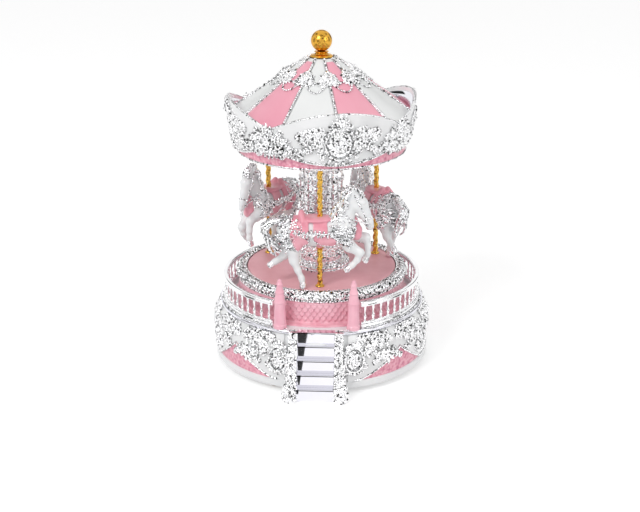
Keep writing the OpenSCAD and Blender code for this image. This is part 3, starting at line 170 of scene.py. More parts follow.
# Cards round the object, each with its direction from the stairs, its angle above the middle, its width
# and its height; and cards that lie on the floor, each with its x and y, its width and its depth.
CARD_AWAY = 560
CARDS = ((-36, 10, 150, 250), (-14, -3, 200, 90), (16, 40, 240, 140), (36, 8, 100, 230), (-60, 44, 210, 110),
    (62, 26, 120, 250), (-84, 12, 140, 320), (94, 18, 130, 360), (-4, 68, 280, 110), (-138, 28, 200, 220),
    (142, 20, 200, 260), (178, 40, 260, 150), (-24, 28, 70, 140), (48, 52, 150, 110), (-110, 55, 180, 120),
    (112, 58, 160, 120))
for number, (round_deg, up_deg, w, h) in enumerate(CARDS):
    round_at, up_at = math.radians(round_deg), math.radians(up_deg)
    away = CARD_AWAY * math.cos(up_at)
    high = MIDDLE_H + CARD_AWAY * math.sin(up_at)
    card(f"card_{number + 1}", (away * math.sin(round_at), -away * math.cos(round_at), high), w, h)
LOW_CARD_Z = 1.0
LOW_CARDS = ((-95, -150, 70, 90), (105, -165, 80, 70), (-30, -480, 170, 110), (140, -360, 110, 150),
    (-190, -330, 120, 130), (60, -560, 150, 70), (-150, -60, 60, 110), (160, -20, 70, 120),
    (-12.5, -118, 7, 90), (-260, -160, 90, 150), (270, -170, 90, 160))
for number, (x, y, w, h) in enumerate(LOW_CARDS):
    card(f"low_card_{number + 1}", (x, y, LOW_CARD_Z), w, h, (x, y, MIDDLE_H))

# Base: a moulded white drum on four rubber feet. Its wall carries pearl lenses and pink textured
# corners, and plated scrollwork is glued over them: ovals, roses, leaf sprays and a rope edge.
RIM_Z = 6.5
DECK_Z = 33.5
WALL_R = 56.6
GROOVE_H = 2.4
BELLY = 0.9
DECK_INSET = 3.7
TRIM_T = 0.9
SPANDREL_Z = 20.0
SPANDREL_DEG = 48.0


def lay_detail(tree, shader, scale, height, detail=2.0, stretch=(1, 1, 1), kind="noise"):
    """Fine bumps, with scale in bumps a millimetre and height in millimetres; returns their mapping."""
    where = tree.nodes.new("ShaderNodeTexCoord")
    place = tree.nodes.new("ShaderNodeMapping")
    place.inputs["Scale"].default_value = tuple(scale * s / MM for s in stretch)
    tree.links.new(where.outputs["Object"], place.inputs["Vector"])
    if kind == "noise":
        pattern = tree.nodes.new("ShaderNodeTexNoise")
        pattern.inputs["Detail"].default_value = detail
        out = pattern.outputs["Fac"]
    else:
        pattern = tree.nodes.new("ShaderNodeTexVoronoi")
        pattern.feature = "SMOOTH_F1"
        out = pattern.outputs["Distance"]
    pattern.inputs["Scale"].default_value = 1.0
    tree.links.new(place.outputs["Vector"], pattern.inputs["Vector"])
    bump = tree.nodes.new("ShaderNodeBump")
    bump.inputs["Strength"].default_value = 1.0
    bump.inputs["Distance"].default_value = height * MM
    tree.links.new(out, bump.inputs["Height"])
    tree.links.new(bump.outputs["Normal"], shader.inputs["Normal"])
    return place


def vary(tree, shader, place, scale, low, high):
    """A slow change between two colours over the surface."""
    slow = tree.nodes.new("ShaderNodeTexNoise")
    slow.inputs["Scale"].default_value = scale
    slow.inputs["Detail"].default_value = 3.0
    tree.links.new(place.outputs["Vector"], slow.inputs["Vector"])
    ramp = tree.nodes.new("ShaderNodeValToRGB")
    for element, position, colour in zip(ramp.color_ramp.elements, (0.35, 0.65), (low, high)):
        element.position = position
        element.color = (*colour, 1)
    tree.links.new(slow.outputs["Fac"], ramp.inputs["Fac"])
    tree.links.new(ramp.outputs["Color"], shader.inputs["Base Color"])


def plated(name, colour, roughness, scale, height, stretch=(1, 1, 1)):
    """A plated finish with small uneven places."""
    made, tree, shader = finish_of(name, colour, roughness, 1.0)
    place = lay_detail(tree, shader, scale, height, 2.0, stretch)
    vary(tree, shader, place, 0.3, [c * 0.94 for c in colour], colour)
    return made


def paint_shade_by_height(tree, shader, steps):
    """Colours the same pattern that makes the bumps, from its cuts up to its tops, to paint shade into the
    cuts.
    """
    bump = next(node for node in tree.nodes if node.type == "BUMP")
    ramp = tree.nodes.new("ShaderNodeValToRGB")
    while len(ramp.color_ramp.elements) < len(steps):
        ramp.color_ramp.elements.new(0.5)
    for element, (position, colour) in zip(ramp.color_ramp.elements, steps):
        element.position = position
        element.color = (*colour, 1)
    tree.links.new(bump.inputs["Height"].links[0].from_socket, ramp.inputs["Fac"])
    tree.links.new(ramp.outputs["Color"], shader.inputs["Base Color"])


def filigree_painted_shade(name, colour, roughness, scale, height, cut):
    """Plated casting full of small leaves, with painted shade and painted dark reflections below the share
    cut of the height of its bumps.
    """
    made, tree, shader = finish_of(name, colour, roughness, 1.0)
    lay_detail(tree, shader, scale, height, 1.0)
    # Painted shade and painted reflections: the low places of the bump pattern go near black, then rise to
    # the plate's own colour.
    dark, dim = [c * 0.02 for c in colour], [c * 0.3 for c in colour]
    paint_shade_by_height(tree, shader, ((cut - 0.03, dark), (cut, dim), (cut + 0.018, colour)))
    return made


def painted(name, low, high, roughness, scale, height, coat=0.0):
    """A moulded plastic or painted finish between two close colours."""
    made, tree, shader = finish_of(name, high, roughness)
    shader.inputs["Coat Weight"].default_value = coat
    shader.inputs["Coat Roughness"].default_value = 0.1
    place = lay_detail(tree, shader, scale, height)
    vary(tree, shader, place, 0.2, low, high)
    return made


def dress(node, material):
    """Gives a CAD node its finish."""
    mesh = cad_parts[node].data
    mesh.materials.clear()
    mesh.materials.append(material)


CHROME = (0.97, 0.97, 0.98)
white_plastic = painted("white_plastic", (0.83, 0.84, 0.85), (0.86, 0.865, 0.87), 0.3, 0.25, 0.02, 0.3)
pearl = painted("pearl_white", (0.84, 0.845, 0.85), (0.90, 0.90, 0.905), 0.22, 0.3, 0.02, 0.6)
# Pebbled pink with painted shade: the sunk grooves between the pebbles are painted darker and the pebble tops
# lighter.
pebble_pink, tree, shader = finish_of("pebbled_pink", (0.93, 0.45, 0.55), 0.34)
lay_detail(tree, shader, 0.72, -0.45, kind="cells")
paint_shade_by_height(tree, shader,
    ((0.05, (0.96, 0.58, 0.66)), (0.38, (0.90, 0.40, 0.50)), (0.72, (0.66, 0.20, 0.31))))
ornament_chrome = filigree_painted_shade("ornament_chrome", CHROME, 0.05, 0.8, 0.36, 0.395)
rope_chrome = filigree_painted_shade("rope_chrome", CHROME, 0.06, 1.0, 0.2, 0.40)
feet_rubber = painted("feet_rubber", (0.50, 0.40, 0.28), (0.58, 0.48, 0.35), 0.7, 1.5, 0.06)
dress("base_shell", white_plastic)
dress("base_panels", pearl)
dress("base_spandrels", pebble_pink)
dress("foot_pads", feet_rubber)
dress("bottom_cover", white_plastic)


def wall_r(z):
    """Radius of the base wall at a height."""
    u = np.clip((np.asarray(z, float) - RIM_Z) / (DECK_Z - GROOVE_H - RIM_Z), 0, 1)
    return WALL_R + BELLY * np.sin(np.pi * u) - DECK_INSET * 0.75 * u ** 3 + TRIM_T


def wrap(parts, deg, height, radius_at):
    """Bends flat relief (u across, v up, w out) onto a round surface at a direction from the stairs."""
    out = []
    for points, faces in parts:
        u, v, w = np.asarray(points, float).T
        z = height + v
        r = radius_at(z)
        turn = np.radians(deg - 90) + u / r
        out.append((np.column_stack([(r + w) * np.cos(turn), (r + w) * np.sin(turn), z]), faces))
    return out


def belts(rings, sides):
    """Four-sided faces between rings of points, each ring joined to the next."""
    faces = []
    for a in range(0, (rings - 1) * sides, sides):
        b = a + sides
        faces += [(a + i, a + (i + 1) % sides, b + (i + 1) % sides, b + i) for i in range(sides)]
    return faces


def together(parts):
    """Several meshes as one list of points and one of faces."""
    points, faces, count = [], [], 0
    for p, f in parts:
        points.append(np.asarray(p, float))
        faces += [tuple(int(i) + count for i in face) for face in f]
        count += len(p)
    return np.concatenate(points), faces


def tube(path, radii, sides=7, strands=0, pitch=0.0):
    """A round bar along a path with a radius at each point and closed ends; strands twist it into a rope."""
    path = np.asarray(path, float)
    radii = np.broadcast_to(np.asarray(radii, float), (len(path),))
    ahead = np.gradient(path, axis=0)
    ahead /= np.linalg.norm(ahead, axis=1)[:, None] + 1e-9
    side = np.cross(ahead[0], (0, 0, 1))
    if np.linalg.norm(side) < 0.1:
        side = np.cross(ahead[0], (0, 1, 0))
    run = np.concatenate([[0], np.cumsum(np.linalg.norm(np.diff(path, axis=0), axis=1))])
    turns = 2 * np.pi * np.arange(sides) / sides
    rings = []
    for i, a in enumerate(ahead):
        side = side - a * np.dot(side, a)
        side /= np.linalg.norm(side)
        up = np.cross(a, side)
        swell = 1 + 0.24 * np.cos(strands * turns - 2 * np.pi * run[i] / pitch) if strands else np.ones(sides)
        ring = np.cos(turns)[:, None] * side + np.sin(turns)[:, None] * up
        rings.append(path[i] + radii[i] * swell[:, None] * ring)
    last = (len(path) - 1) * sides
    ends = [tuple(range(sides - 1, -1, -1)), tuple(range(last, last + sides))]
    return np.concatenate(rings), belts(len(path), sides) + ends


def dome(at, size, turn=0.0, lift=0.0):
    """A small raised pad: half an egg of half sizes (a, b, height), turned on the surface."""
    sides, rows = 8, 3
    a, b, high = size
    points = [(0, 0, high)]
    for k in range(1, rows + 1):
        up = math.pi / 2 * (1 - k / rows)
        for i in range(sides):
            t = 2 * math.pi * i / sides
            x, y = a * math.cos(up) * math.cos(t), b * math.cos(up) * math.sin(t)
            points.append((x, y, high * math.sin(up)))
    points += [(p[0], p[1], -0.5) for p in points[-sides:]]
    c, s = math.cos(turn), math.sin(turn)
    placed = [(at[0] + x * c - y * s, at[1] + x * s + y * c, z + lift) for x, y, z in points]
    faces = [(0, 1 + i, 1 + (i + 1) % sides) for i in range(sides)]
    for k in range(rows):
        a, b = 1 + k * sides, 1 + (k + 1) * sides
        faces += [(a + i, b + i, b + (i + 1) % sides, a + (i + 1) % sides) for i in range(sides)]
    faces.append(tuple(range(len(points) - 1, len(points) - 1 - sides, -1)))
    return placed, faces


def leaf(at, length, width, turn, curl=0.6, lift=0.0):
    """A pointed leaf with a sunk rib and a curled tip, from its stalk outwards."""
    rows, thick = 6, 0.55
    c, s = math.cos(turn), math.sin(turn)
    points = []
    for k in range(rows):
        t = k / (rows - 1)
        half = width / 2 * (math.sin(math.pi * (0.12 + 0.86 * t)) ** 0.8) * (1 + 0.18 * (k % 2))
        rise = thick + curl * math.sin(math.pi * t)
        for x, z in ((-half, 0), (-half * 0.5, rise), (0, rise * 0.55), (half * 0.5, rise), (half, 0)):
            y = t * length
            points.append((at[0] + x * c - y * s, at[1] + x * s + y * c, z + lift))
        points.append((at[0] - t * length * s, at[1] + t * length * c, lift - 0.4))
    n = 6
    ends = [tuple(range(n - 1, -1, -1)), tuple(range((rows - 1) * n, rows * n))]
    return points, belts(rows, n) + ends


def rose(at, r, lift=0.0, petals=5, high=1.1):
    """A flower of round petals about a raised heart."""
    parts = []
    for i in range(petals):
        t = 2 * math.pi * (i + 0.25) / petals
        spot = (at[0] + 0.6 * r * math.cos(t), at[1] + 0.6 * r * math.sin(t))
        parts.append(dome(spot, (0.44 * r, 0.34 * r, high * 0.75), t, lift))
    parts.append(dome(at, (0.34 * r, 0.34 * r, high * 1.25), 0, lift))
    return parts


def roses(*flowers):
    """Several roses, each given as its place and the numbers that rose() takes."""
    return [part for flower in flowers for part in rose(*flower)]


def scroll(at, r, turns, turn, way=1, thick=0.6, lift=0.2):
    """A bar rolled into a flat spiral with a bead at its heart."""
    steps = max(10, int(turns * 12))
    path = []
    for i in range(steps + 1):
        t = i / steps
        a = turn + way * 2 * math.pi * turns * t
        q = r * (1 - 0.82 * t)
        path.append((at[0] + q * math.cos(a), at[1] + q * math.sin(a), lift + 0.5 * t))
    size = thick * np.interp(np.linspace(0, 1, steps + 1), [0, 0.2, 1], [0.35, 1, 0.8])
    return [tube(path, size, 6), dome(at, (0.36 * r, 0.36 * r, thick + 0.9), 0, lift)]


def arm(points, thick):
    """A tapering stem through flat points."""
    path = np.array(points, float)
    spots = np.linspace(0, len(path) - 1, 4 * len(path))
    across, up = (np.interp(spots, np.arange(len(path)), path[:, i]) for i in (0, 1))
    line = np.column_stack([across, up, np.full(len(spots), 0.25)])
    smooth = line.copy()
    smooth[1:-1] = (line[:-2] + line[1:-1] * 2 + line[2:]) / 4
    size = thick * np.interp(np.linspace(0, 1, len(spots)), [0, 0.2, 0.8, 1], [0.5, 1, 0.9, 0.4])
    return tube(smooth, size, 6)


def moved(parts, u, v):
    """Relief shifted on its flat sheet."""
    return [(np.asarray(p, float) + (u, v, 0), f) for p, f in parts]


def mirrored(parts):
    """The same relief with left and right changed."""
    out = []
    for points, faces in parts:
        points = np.asarray(points, float).copy()
        points[:, 0] *= -1
        out.append((points, [tuple(reversed(f)) for f in faces]))
    return out


def oval_plaque(a, b):
    """A framed oval with a rope rim, a beaded ring, and a rose and eight leaves inside."""
    parts = [dome((0, 0), (a * 0.98, b * 0.98, 1.0))]
    ring = [(a * math.cos(t), b * math.sin(t), 0.9) for t in np.linspace(0, 2 * math.pi, 49)]
    parts.append(tube(ring, 0.62, 8, 2, 1.6))
    ring = [(0.8 * a * math.cos(t), 0.8 * b * math.sin(t)) for t in np.linspace(0, 2 * math.pi, 29)[:-1]]
    parts += [dome(p, (0.36, 0.36, 1.5)) for p in ring]
    parts += rose((0, 0), 0.32 * a, 0.7)
    for i in range(8):
        t = 2 * math.pi * (i + 0.5) / 8
        spot = (0.26 * a * math.cos(t), 0.3 * b * math.sin(t))
        parts.append(leaf(spot, 0.42 * min(a, b), 1.5, t - math.pi / 2, 0.7, 0.7))
    return parts


def spray(length, rng, size=1.0, droop=0.0):
    """A leafy branch that runs sideways from the middle: a stem with paired leaves, buds and a rose."""
    stem = [(0, 0), (length * 0.35, 1.6 * size), (length * 0.7, 0.6 * size - droop), (length, -droop)]
    parts = [arm(stem, 0.5 * size)]
    for i in range(int(length / 1.5)):
        t = (i + 0.5) * 1.5 / length
        x = t * length
        y = np.interp(t, [0, 0.35, 0.7, 1], [p[1] for p in stem])
        for way in (-1, 1):
            turn = -math.pi / 2 + way * (0.75 + 0.3 * rng.random())
            reach = (2.3 + 1.2 * rng.random()) * size * (1.15 - 0.5 * t)
            parts.append(leaf((x, y), reach, 1.5 * size, turn, 0.7, 0.1 + 0.4 * rng.random()))
    for t in (0.3, 0.62, 0.95):
        y = np.interp(t, [0, 0.35, 0.7, 1], [p[1] for p in stem])
        parts += rose((t * length, y + 0.6 * size * (1 if t < 0.5 else -1)), (1.9 - 0.5 * t) * size, 0.5)
    return parts


def middle_half():
    """Right half of the garland over the middle of a lens: three sprays, scrolls, leaves and roses."""
    half = spray(15, rng, 1.15, -1.5)
    half += moved(spray(15, rng, 0.95, -2.0), 1.0, 3.4)
    half += moved(spray(11, rng, 0.9, 1.0), 2.0, -2.8)
    half += scroll((4.5, -3.4), 2.4, 1.4, math.pi / 2, -1)
    half += scroll((9.6, 3.0), 1.9, 1.3, -math.pi / 2, 1)
    half += scroll((14.5, 4.6), 1.6, 1.2, 0, 1)
    half += [arm([(0, 3.2), (5, 4.8), (10, 4.4), (16, 6.2)], 0.5)]
    half += [leaf((x, 4.4 + 0.1 * x), 2.6, 1.6, -0.9 + 0.5 * math.sin(x), 0.8, 0.2) for x in range(1, 17, 2)]
    return half + rose((7.0, 0.6), 2.0, 0.8, 6, 1.4) + rose((12.4, 2.6), 1.9, 0.7, 5, 1.3)


def base_oval():
    """Oval plaque with leaves at its top and foot, a ring of small roses and four scrolls."""
    oval = oval_plaque(4.9, 6.6)
    for i in range(-3, 4):
        oval.append(leaf((0.9 * i, 6.2), 3.8 - 0.5 * abs(i), 1.7, -0.3 * i, 0.8, 0.4))
    for i in range(-3, 4):
        oval.append(leaf((1.2 * i, -6.0), 3.0 - 0.4 * abs(i), 1.6, math.pi + 0.35 * i, 0.8, 0.4))
    for k in range(12):
        t = 2 * math.pi * (k + 0.5) / 12
        oval += rose((5.4 * math.cos(t), 7.1 * math.sin(t)), 1.1, 0.4, 5, 1.0)
    oval += scroll((5.8, -3.8), 1.9, 1.4, math.pi, 1) + scroll((-5.8, -3.8), 1.9, 1.4, 0, -1)
    return oval + scroll((6.0, 3.4), 1.7, 1.4, math.pi, -1) + scroll((-6.0, 3.4), 1.7, 1.4, 0, 1)


def outer_spray():
    """Garland from an oval outwards: three sprays, a stem, scrolls, roses and a row of leaves."""
    out = spray(17, rng, 1.15, -2.6)
    out += moved(spray(16, rng, 1.0, -1.6), -4.0, 3.8)
    out += moved(spray(11, rng, 1.0, 2.4), 0.6, -3.4)
    out += [arm([(1, 3.6), (6, 5.4), (11, 5.2), (15, 6.2)], 0.45)]
    out += scroll((8, 4.0), 1.9, 1.3, 0, 1) + scroll((13.6, 1.6), 1.8, 1.3, math.pi, 1)
    out += roses(((4.4, 0.4), 2.3, 0.8, 6, 1.5), ((9.4, 0.2), 2.1, 0.7, 6, 1.4),
        ((14.6, 4.6), 1.8, 0.6, 5, 1.2))
    return out + [leaf((-2 + 2 * i, 5.0), 2.4, 1.5, -1.6 + 0.7 * (i % 3), 0.8, 0.3) for i in range(9)]


rng = np.random.default_rng(11)
GARLAND_Z, OVAL_Z, SPRAY_Z = 25.0, 18.6, 24.0
OVAL_DEG, OVAL_BY_STAIRS_DEG, SPRAY_ON_DEG = 22, 19.6, 5.5
for quarter, facing in ((0, "front"), (90, "right"), (180, "back"), (270, "left")):
    # In front the stairs take the place of the garland.
    relief = []
    flat = mirrored(middle_half()) + middle_half()
    if facing != "front":
        flat += rose((0, 1.0), 3.8, 0.8, 6, 1.6)
        relief += wrap(flat, quarter, GARLAND_Z, wall_r)
    for way in (-1, 1):
        deg = quarter + way * (OVAL_BY_STAIRS_DEG if facing == "front" else OVAL_DEG)
        relief += wrap(base_oval(), deg, OVAL_Z, wall_r)
        out = outer_spray()
        relief += wrap(out if way > 0 else mirrored(out), deg + way * SPRAY_ON_DEG, SPRAY_Z, wall_r)
    base_relief = mesh_object(f"base_scrollwork_{facing}", *together(relief), ornament_chrome)
    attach(base_relief, "base")
    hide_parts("base_relief")

# One star of leaves with a spray to each side lies on each pink spandrel between two lenses.
STAR_IN_DEG, STAR_DOWN = 9, 1.6
stars = []
for deg in (SPANDREL_DEG, 180 - SPANDREL_DEG, 180 + SPANDREL_DEG, -SPANDREL_DEG):
    star = rose((0, 0), 3.2, 0.6, 6, 1.3)
    star += [leaf((1.3 * math.cos(t), 1.3 * math.sin(t)), 4.4, 1.9, t - math.pi / 2, 0.8, 0.3)
        for t in (math.pi / 4 * i for i in range(8))]
    star += spray(9, rng, 0.95, 2.6) + mirrored(spray(9, rng, 0.95, 2.6))
    inward = math.copysign(STAR_IN_DEG, math.sin(math.radians(2 * deg)))
    stars += wrap(star, deg - inward, SPANDREL_Z - STAR_DOWN, wall_r)
spandrel_stars = mesh_object("spandrel_stars", *together(stars), ornament_chrome)
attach(spandrel_stars, "base")
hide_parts("base_relief")

# Edging: a cast rope is glued along the lower edge of each pearl lens, broken where the stairs stand, and
# a bright turned fillet is pressed into the groove under the deck's edge.
ROPE_FOOT_Z = 2.5
STAIR_HALF_DEG = 20
edging = []
for quarter in (0, 90, 180, 270):
    apex = SPANDREL_DEG if quarter in (0, 180) else 90 - SPANDREL_DEG
    spans = ((-apex, -STAIR_HALF_DEG), (STAIR_HALF_DEG, apex)) if quarter == 0 else ((-apex, apex),)
    chord = WALL_R * math.sin(math.radians(apex))
    rise = SPANDREL_Z - ROPE_FOOT_Z
    arc_r = (chord ** 2 + rise ** 2) / (2 * rise)
    for start, end in spans:
        line = []
        for deg in np.linspace(start, end, int((end - start) * 1.9)):
            across = WALL_R * math.sin(math.radians(deg))
            z = max(ROPE_FOOT_Z + arc_r - math.sqrt(max(arc_r ** 2 - across ** 2, 0)), RIM_Z + 0.4)
            r = float(wall_r(z)) + 0.1
            turn = math.radians(deg + quarter - 90)
            line.append((r * math.cos(turn), r * math.sin(turn), z))
        edging.append(tube(line, 0.5, 8, 2, 1.5))
base_edging = mesh_object("base_rope_edge", *together(edging), rope_chrome)
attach(base_edging, "base")


def lathe(profile, sides=160):
    """Turned form from a closed line of (radius, height) points, anticlockwise in that plane."""
    n = len(profile)
    points = [(r * math.cos(2 * math.pi * k / sides), r * math.sin(2 * math.pi * k / sides), z)
        for k in range(sides) for r, z in profile]
    faces = [(k * n + i, ((k + 1) % sides) * n + i, ((k + 1) % sides) * n + (i + 1) % n, k * n + (i + 1) % n)
        for k in range(sides) for i in range(n)]
    return points, faces


mirror_chrome = plated("mirror_chrome", (0.86, 0.855, 0.91), 0.04, 0.06, 0.03)
BAND_PROFILE = ((54.35, 31.5), (54.9, 31.5), (55.2, 32.2), (55.2, 33.0), (54.8, 33.5), (54.35, 33.5))
deck_band = mesh_object("deck_band", *lathe(BAND_PROFILE), mirror_chrome)
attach(deck_band, "base")

# Stairs: five mirror-bright risers with narrow treads between two carved stringers. The steps are one
# plated moulding, the stringers are plated castings, and all three are glued to the front of the base.
STAIR_W = 19.2
RISERS = 5
TREAD = 3.0
STRINGER_TOP_W = 4.3
STRINGER_FOOT_W = 6.5
COPING_H = 2.6
DECK_R = 54.3
stair_top_y = -(DECK_R + 0.03)
stair_foot_y = stair_top_y - (RISERS - 1) * TREAD
riser_h = DECK_Z / RISERS
TOP_NOSE = 0.8
steps = []
half = STAIR_W / 2 - 0.05
for k in range(RISERS):
    y = stair_top_y - k * TREAD - (0.0 if k else TOP_NOSE)
    back = y + 2.9 + TOP_NOSE * (k == 0)
    top = DECK_Z - k * riser_h + 0.06
    foot = top - riser_h
    outline = [(back, top), (y + 0.35, top), (y, top - 0.3), (y, top - 0.75), (y + 0.32, top - 1.05),
        (y + 0.42, top - 1.5), (y + 0.42, foot + 0.6), (y + 0.1, foot), (back, foot)]
    n = len(outline)
    points = [(x, py, pz) for x in (-half, half) for py, pz in outline]
    faces = [(i, (i + 1) % n, n + (i + 1) % n, n + i) for i in range(n)]
    faces += [tuple(range(n - 1, -1, -1)), tuple(range(n, 2 * n))]
    steps.append((points, faces))
stair_steps = mesh_object("mirror_steps", *together(steps), mirror_chrome, smooth=False)
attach(stair_steps, "base")


def stringer(way):
    """Carved facing over one stringer: a raking border, leaf sprays, and a scrolled newel at the foot."""
    mid = STAIR_W / 2 + STRINGER_TOP_W / 2
    parts = []
    run_y, run_z = stair_foot_y - stair_top_y - 0.9, riser_h + COPING_H - DECK_Z
    rake = [(mid, stair_top_y - 0.4 + t * run_y, DECK_Z - 0.6 + t * run_z) for t in np.linspace(0, 1, 30)]
    for dx in (-1.75, 1.75):
        parts.append(tube([(p[0] + dx, p[1] - 0.3, p[2]) for p in rake], 0.55, 7, 2, 1.6))
    flat = []
    for i in range(7):
        v = 3.2 + 3.5 * i
        flat += rose((0, v), 1.35, 0.4, 5, 1.0)
        for side_way in (-1, 1):
            flat.append(leaf((0.2 * side_way, v + 1.0), 2.3, 1.3, -side_way * 0.75, 0.8, 0.2))
            flat.append(leaf((0.2 * side_way, v - 0.8), 2.1, 1.2, -side_way * 2.3, 0.8, 0.2))
    lean = np.array(rake[-1]) - np.array(rake[0])
    lean /= np.linalg.norm(lean)
    out = np.array([0, -abs(lean[2]), abs(lean[1])])
    for points, faces in flat:
        u, v, w = np.asarray(points, float).T
        placed = np.array(rake[0]) + np.outer(u, (1, 0, 0)) + np.outer(v, lean) + np.outer(w, out)
        parts.append((placed, [tuple(reversed(f)) for f in faces]))
    newel_x, newel_y = STAIR_W / 2 + STRINGER_FOOT_W / 2, stair_foot_y + 0.6
    for k in range(9):
        t = 2 * math.pi * k / 9
        for row, (z, r) in enumerate(((1.6, 3.1), (4.6, 3.05), (7.6, 2.6))):
            a = t + 0.35 * row
            pad = rose((0, 0), 1.2, 0, 5, 0.9) if k % 2 else [leaf((0, -1.4), 2.9, 1.6, 0.2, 0.8)]
            for points, faces in pad:
                u, v, w = np.asarray(points, float).T
                x, y = newel_x + (r + w) * np.cos(a + u / r), newel_y + (r + w) * np.sin(a + u / r)
                parts.append((np.column_stack([x, y, z + v]), faces))
    return parts if way > 0 else mirrored(parts)


for way, label in ((-1, "left"), (1, "right")):
    facing = mesh_object(f"stringer_carving_{label}", *together(stringer(way)), ornament_chrome)
    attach(facing, "base")
    dress(f"stair_stringer_{label}", ornament_chrome)
dress("stair_steps", mirror_chrome)

# Drum: a short round wall under the turntable, moulded in pink plastic with rows of overlapping scales.
# It's glued on the deck, and the turntable's hub goes down through it.
DRUM_R = 44.5
DRUM_H = 12.0
SCALE_W = 3.1
SCALE_ROWS = 5


def scale_tile(w, h, thick):
    """One scale, facing +X: a rounded shield with a raised lip and a sunk middle."""
    rim = ((0, 0.5), (-0.28, 0.42), (-0.48, 0.1), (-0.42, -0.25), (-0.2, -0.5), (0, -0.62), (0.2, -0.5),
        (0.42, -0.25), (0.48, 0.1), (0.28, 0.42))
    n = len(rim)
    points = [(0, x * w, z * h) for x, z in rim]
    points += [(thick * (0.55 - 0.55 * z), x * w * 0.97, z * h) for x, z in rim]
    points += [(thick * (0.5 - 0.6 * z) - 0.1, x * w * 0.68, z * h * 0.68) for x, z in rim]
    points.append((thick * 0.42, 0, -0.05 * h))
    faces = [(i, (i + 1) % n, n + (i + 1) % n, n + i) for i in range(n)]
    faces += [(n + i, n + (i + 1) % n, 2 * n + (i + 1) % n, 2 * n + i) for i in range(n)]
    faces += [(2 * n + i, 2 * n + (i + 1) % n, 3 * n) for i in range(n)]
    faces.append(tuple(range(n - 1, -1, -1)))
    return points, faces


def node_in(tree, kind, **values):
    """Adds a node; values are its properties, or its inputs when their names start with a capital."""
    made = tree.nodes.new(kind)
    for key, value in values.items():
        if key[0].isupper():
            made.inputs[key.replace("_", " ")].default_value = value
        else:
            setattr(made, key, value)
    return made


def new_tree(name, inputs):
    """An empty node tree that takes a mesh and named sizes and gives a mesh."""
    tree = bpy.data.node_groups.new(name, "GeometryNodeTree")
    tree.interface.new_socket("Geometry", in_out="INPUT", socket_type="NodeSocketGeometry")
    for label, kind in inputs:
        tree.interface.new_socket(label, in_out="INPUT", socket_type=f"NodeSocket{kind}")
    tree.interface.new_socket("Geometry", in_out="OUTPUT", socket_type="NodeSocketGeometry")
    return tree, tree.nodes.new("NodeGroupInput"), tree.nodes.new("NodeGroupOutput")


def hand_out(tree, copies, given, result):
    """Ends a tree: makes its copies plain mesh and gives them the material."""
    real = tree.nodes.new("GeometryNodeRealizeInstances")
    coat = tree.nodes.new("GeometryNodeSetMaterial")
    for source, target in ((copies.outputs[0], real.inputs[0]), (real.outputs[0], coat.inputs["Geometry"]),
            (given.outputs["Material"], coat.inputs["Material"]), (coat.outputs[0], result.inputs[0])):
        tree.links.new(source, target)


def made_by(tree, piece, settings):
    """Runs a tree on a piece with its settings and leaves a plain mesh."""
    step = piece.modifiers.new(tree.name, "NODES")
    step.node_group = tree
    for item in tree.interface.items_tree:
        if item.item_type == "SOCKET" and item.in_out == "INPUT" and item.name in settings:
            step[item.identifier] = settings[item.name]
    piece.update_tag()
    graph = bpy.context.evaluated_depsgraph_get()
    plain = bpy.data.meshes.new_from_object(piece.evaluated_get(graph), depsgraph=graph)
    piece.modifiers.clear()
    if piece.type == "CURVE":
        name = piece.name
        bpy.data.objects.remove(piece)
        piece = bpy.data.objects.new(name, plain)
        bpy.context.scene.collection.objects.link(piece)
    else:
        piece.data = plain
    plain.name = piece.name
    return piece


def row_tree():
    """Sets copies of a piece in rows round the axis, each row half a step on from the last."""
    tree, given, result = new_tree("rows_round_axis", [("Count", "Int"), ("Rows", "Int"), ("Radius", "Float"),
        ("First Height", "Float"), ("Row Height", "Float"), ("Start", "Float"), ("Span", "Float"),
        ("Material", "Material")])
    link = tree.links.new

    def sum_of(kind, a, b):
        """The result of one sum on two values or sockets."""
        made = node_in(tree, "ShaderNodeMath", operation=kind)
        for socket, value in zip(made.inputs, (a, b)):
            if isinstance(value, (int, float)):
                socket.default_value = value
            else:
                link(value, socket)
        return made.outputs[0]

    number = tree.nodes.new("GeometryNodeInputIndex").outputs[0]
    row = sum_of("FLOOR", sum_of("DIVIDE", sum_of("ADD", number, 0.01), given.outputs["Count"]), 0)
    place = sum_of("SUBTRACT", number, sum_of("MULTIPLY", row, given.outputs["Count"]))
    half_step = sum_of("MULTIPLY", sum_of("MODULO", row, 2), 0.5)
    share = sum_of("DIVIDE", sum_of("ADD", sum_of("ADD", place, 0.5), half_step), given.outputs["Count"])
    angle = sum_of("ADD", given.outputs["Start"], sum_of("MULTIPLY", share, given.outputs["Span"]))
    rise = sum_of("MULTIPLY", row, given.outputs["Row Height"])
    spot = tree.nodes.new("ShaderNodeCombineXYZ")
    link(sum_of("MULTIPLY", given.outputs["Radius"], sum_of("COSINE", angle, 0)), spot.inputs[0])
    link(sum_of("MULTIPLY", given.outputs["Radius"], sum_of("SINE", angle, 0)), spot.inputs[1])
    link(sum_of("ADD", given.outputs["First Height"], rise), spot.inputs[2])
    spots = tree.nodes.new("GeometryNodePoints")
    link(sum_of("MULTIPLY", given.outputs["Count"], given.outputs["Rows"]), spots.inputs["Count"])
    link(spot.outputs[0], spots.inputs["Position"])
    turn = tree.nodes.new("ShaderNodeCombineXYZ")
    link(angle, turn.inputs[2])
    copies = tree.nodes.new("GeometryNodeInstanceOnPoints")
    link(spots.outputs[0], copies.inputs["Points"])
    link(given.outputs["Geometry"], copies.inputs["Instance"])
    link(turn.outputs[0], copies.inputs["Rotation"])
    hand_out(tree, copies, given, result)
    return tree


rows_round_axis = row_tree()


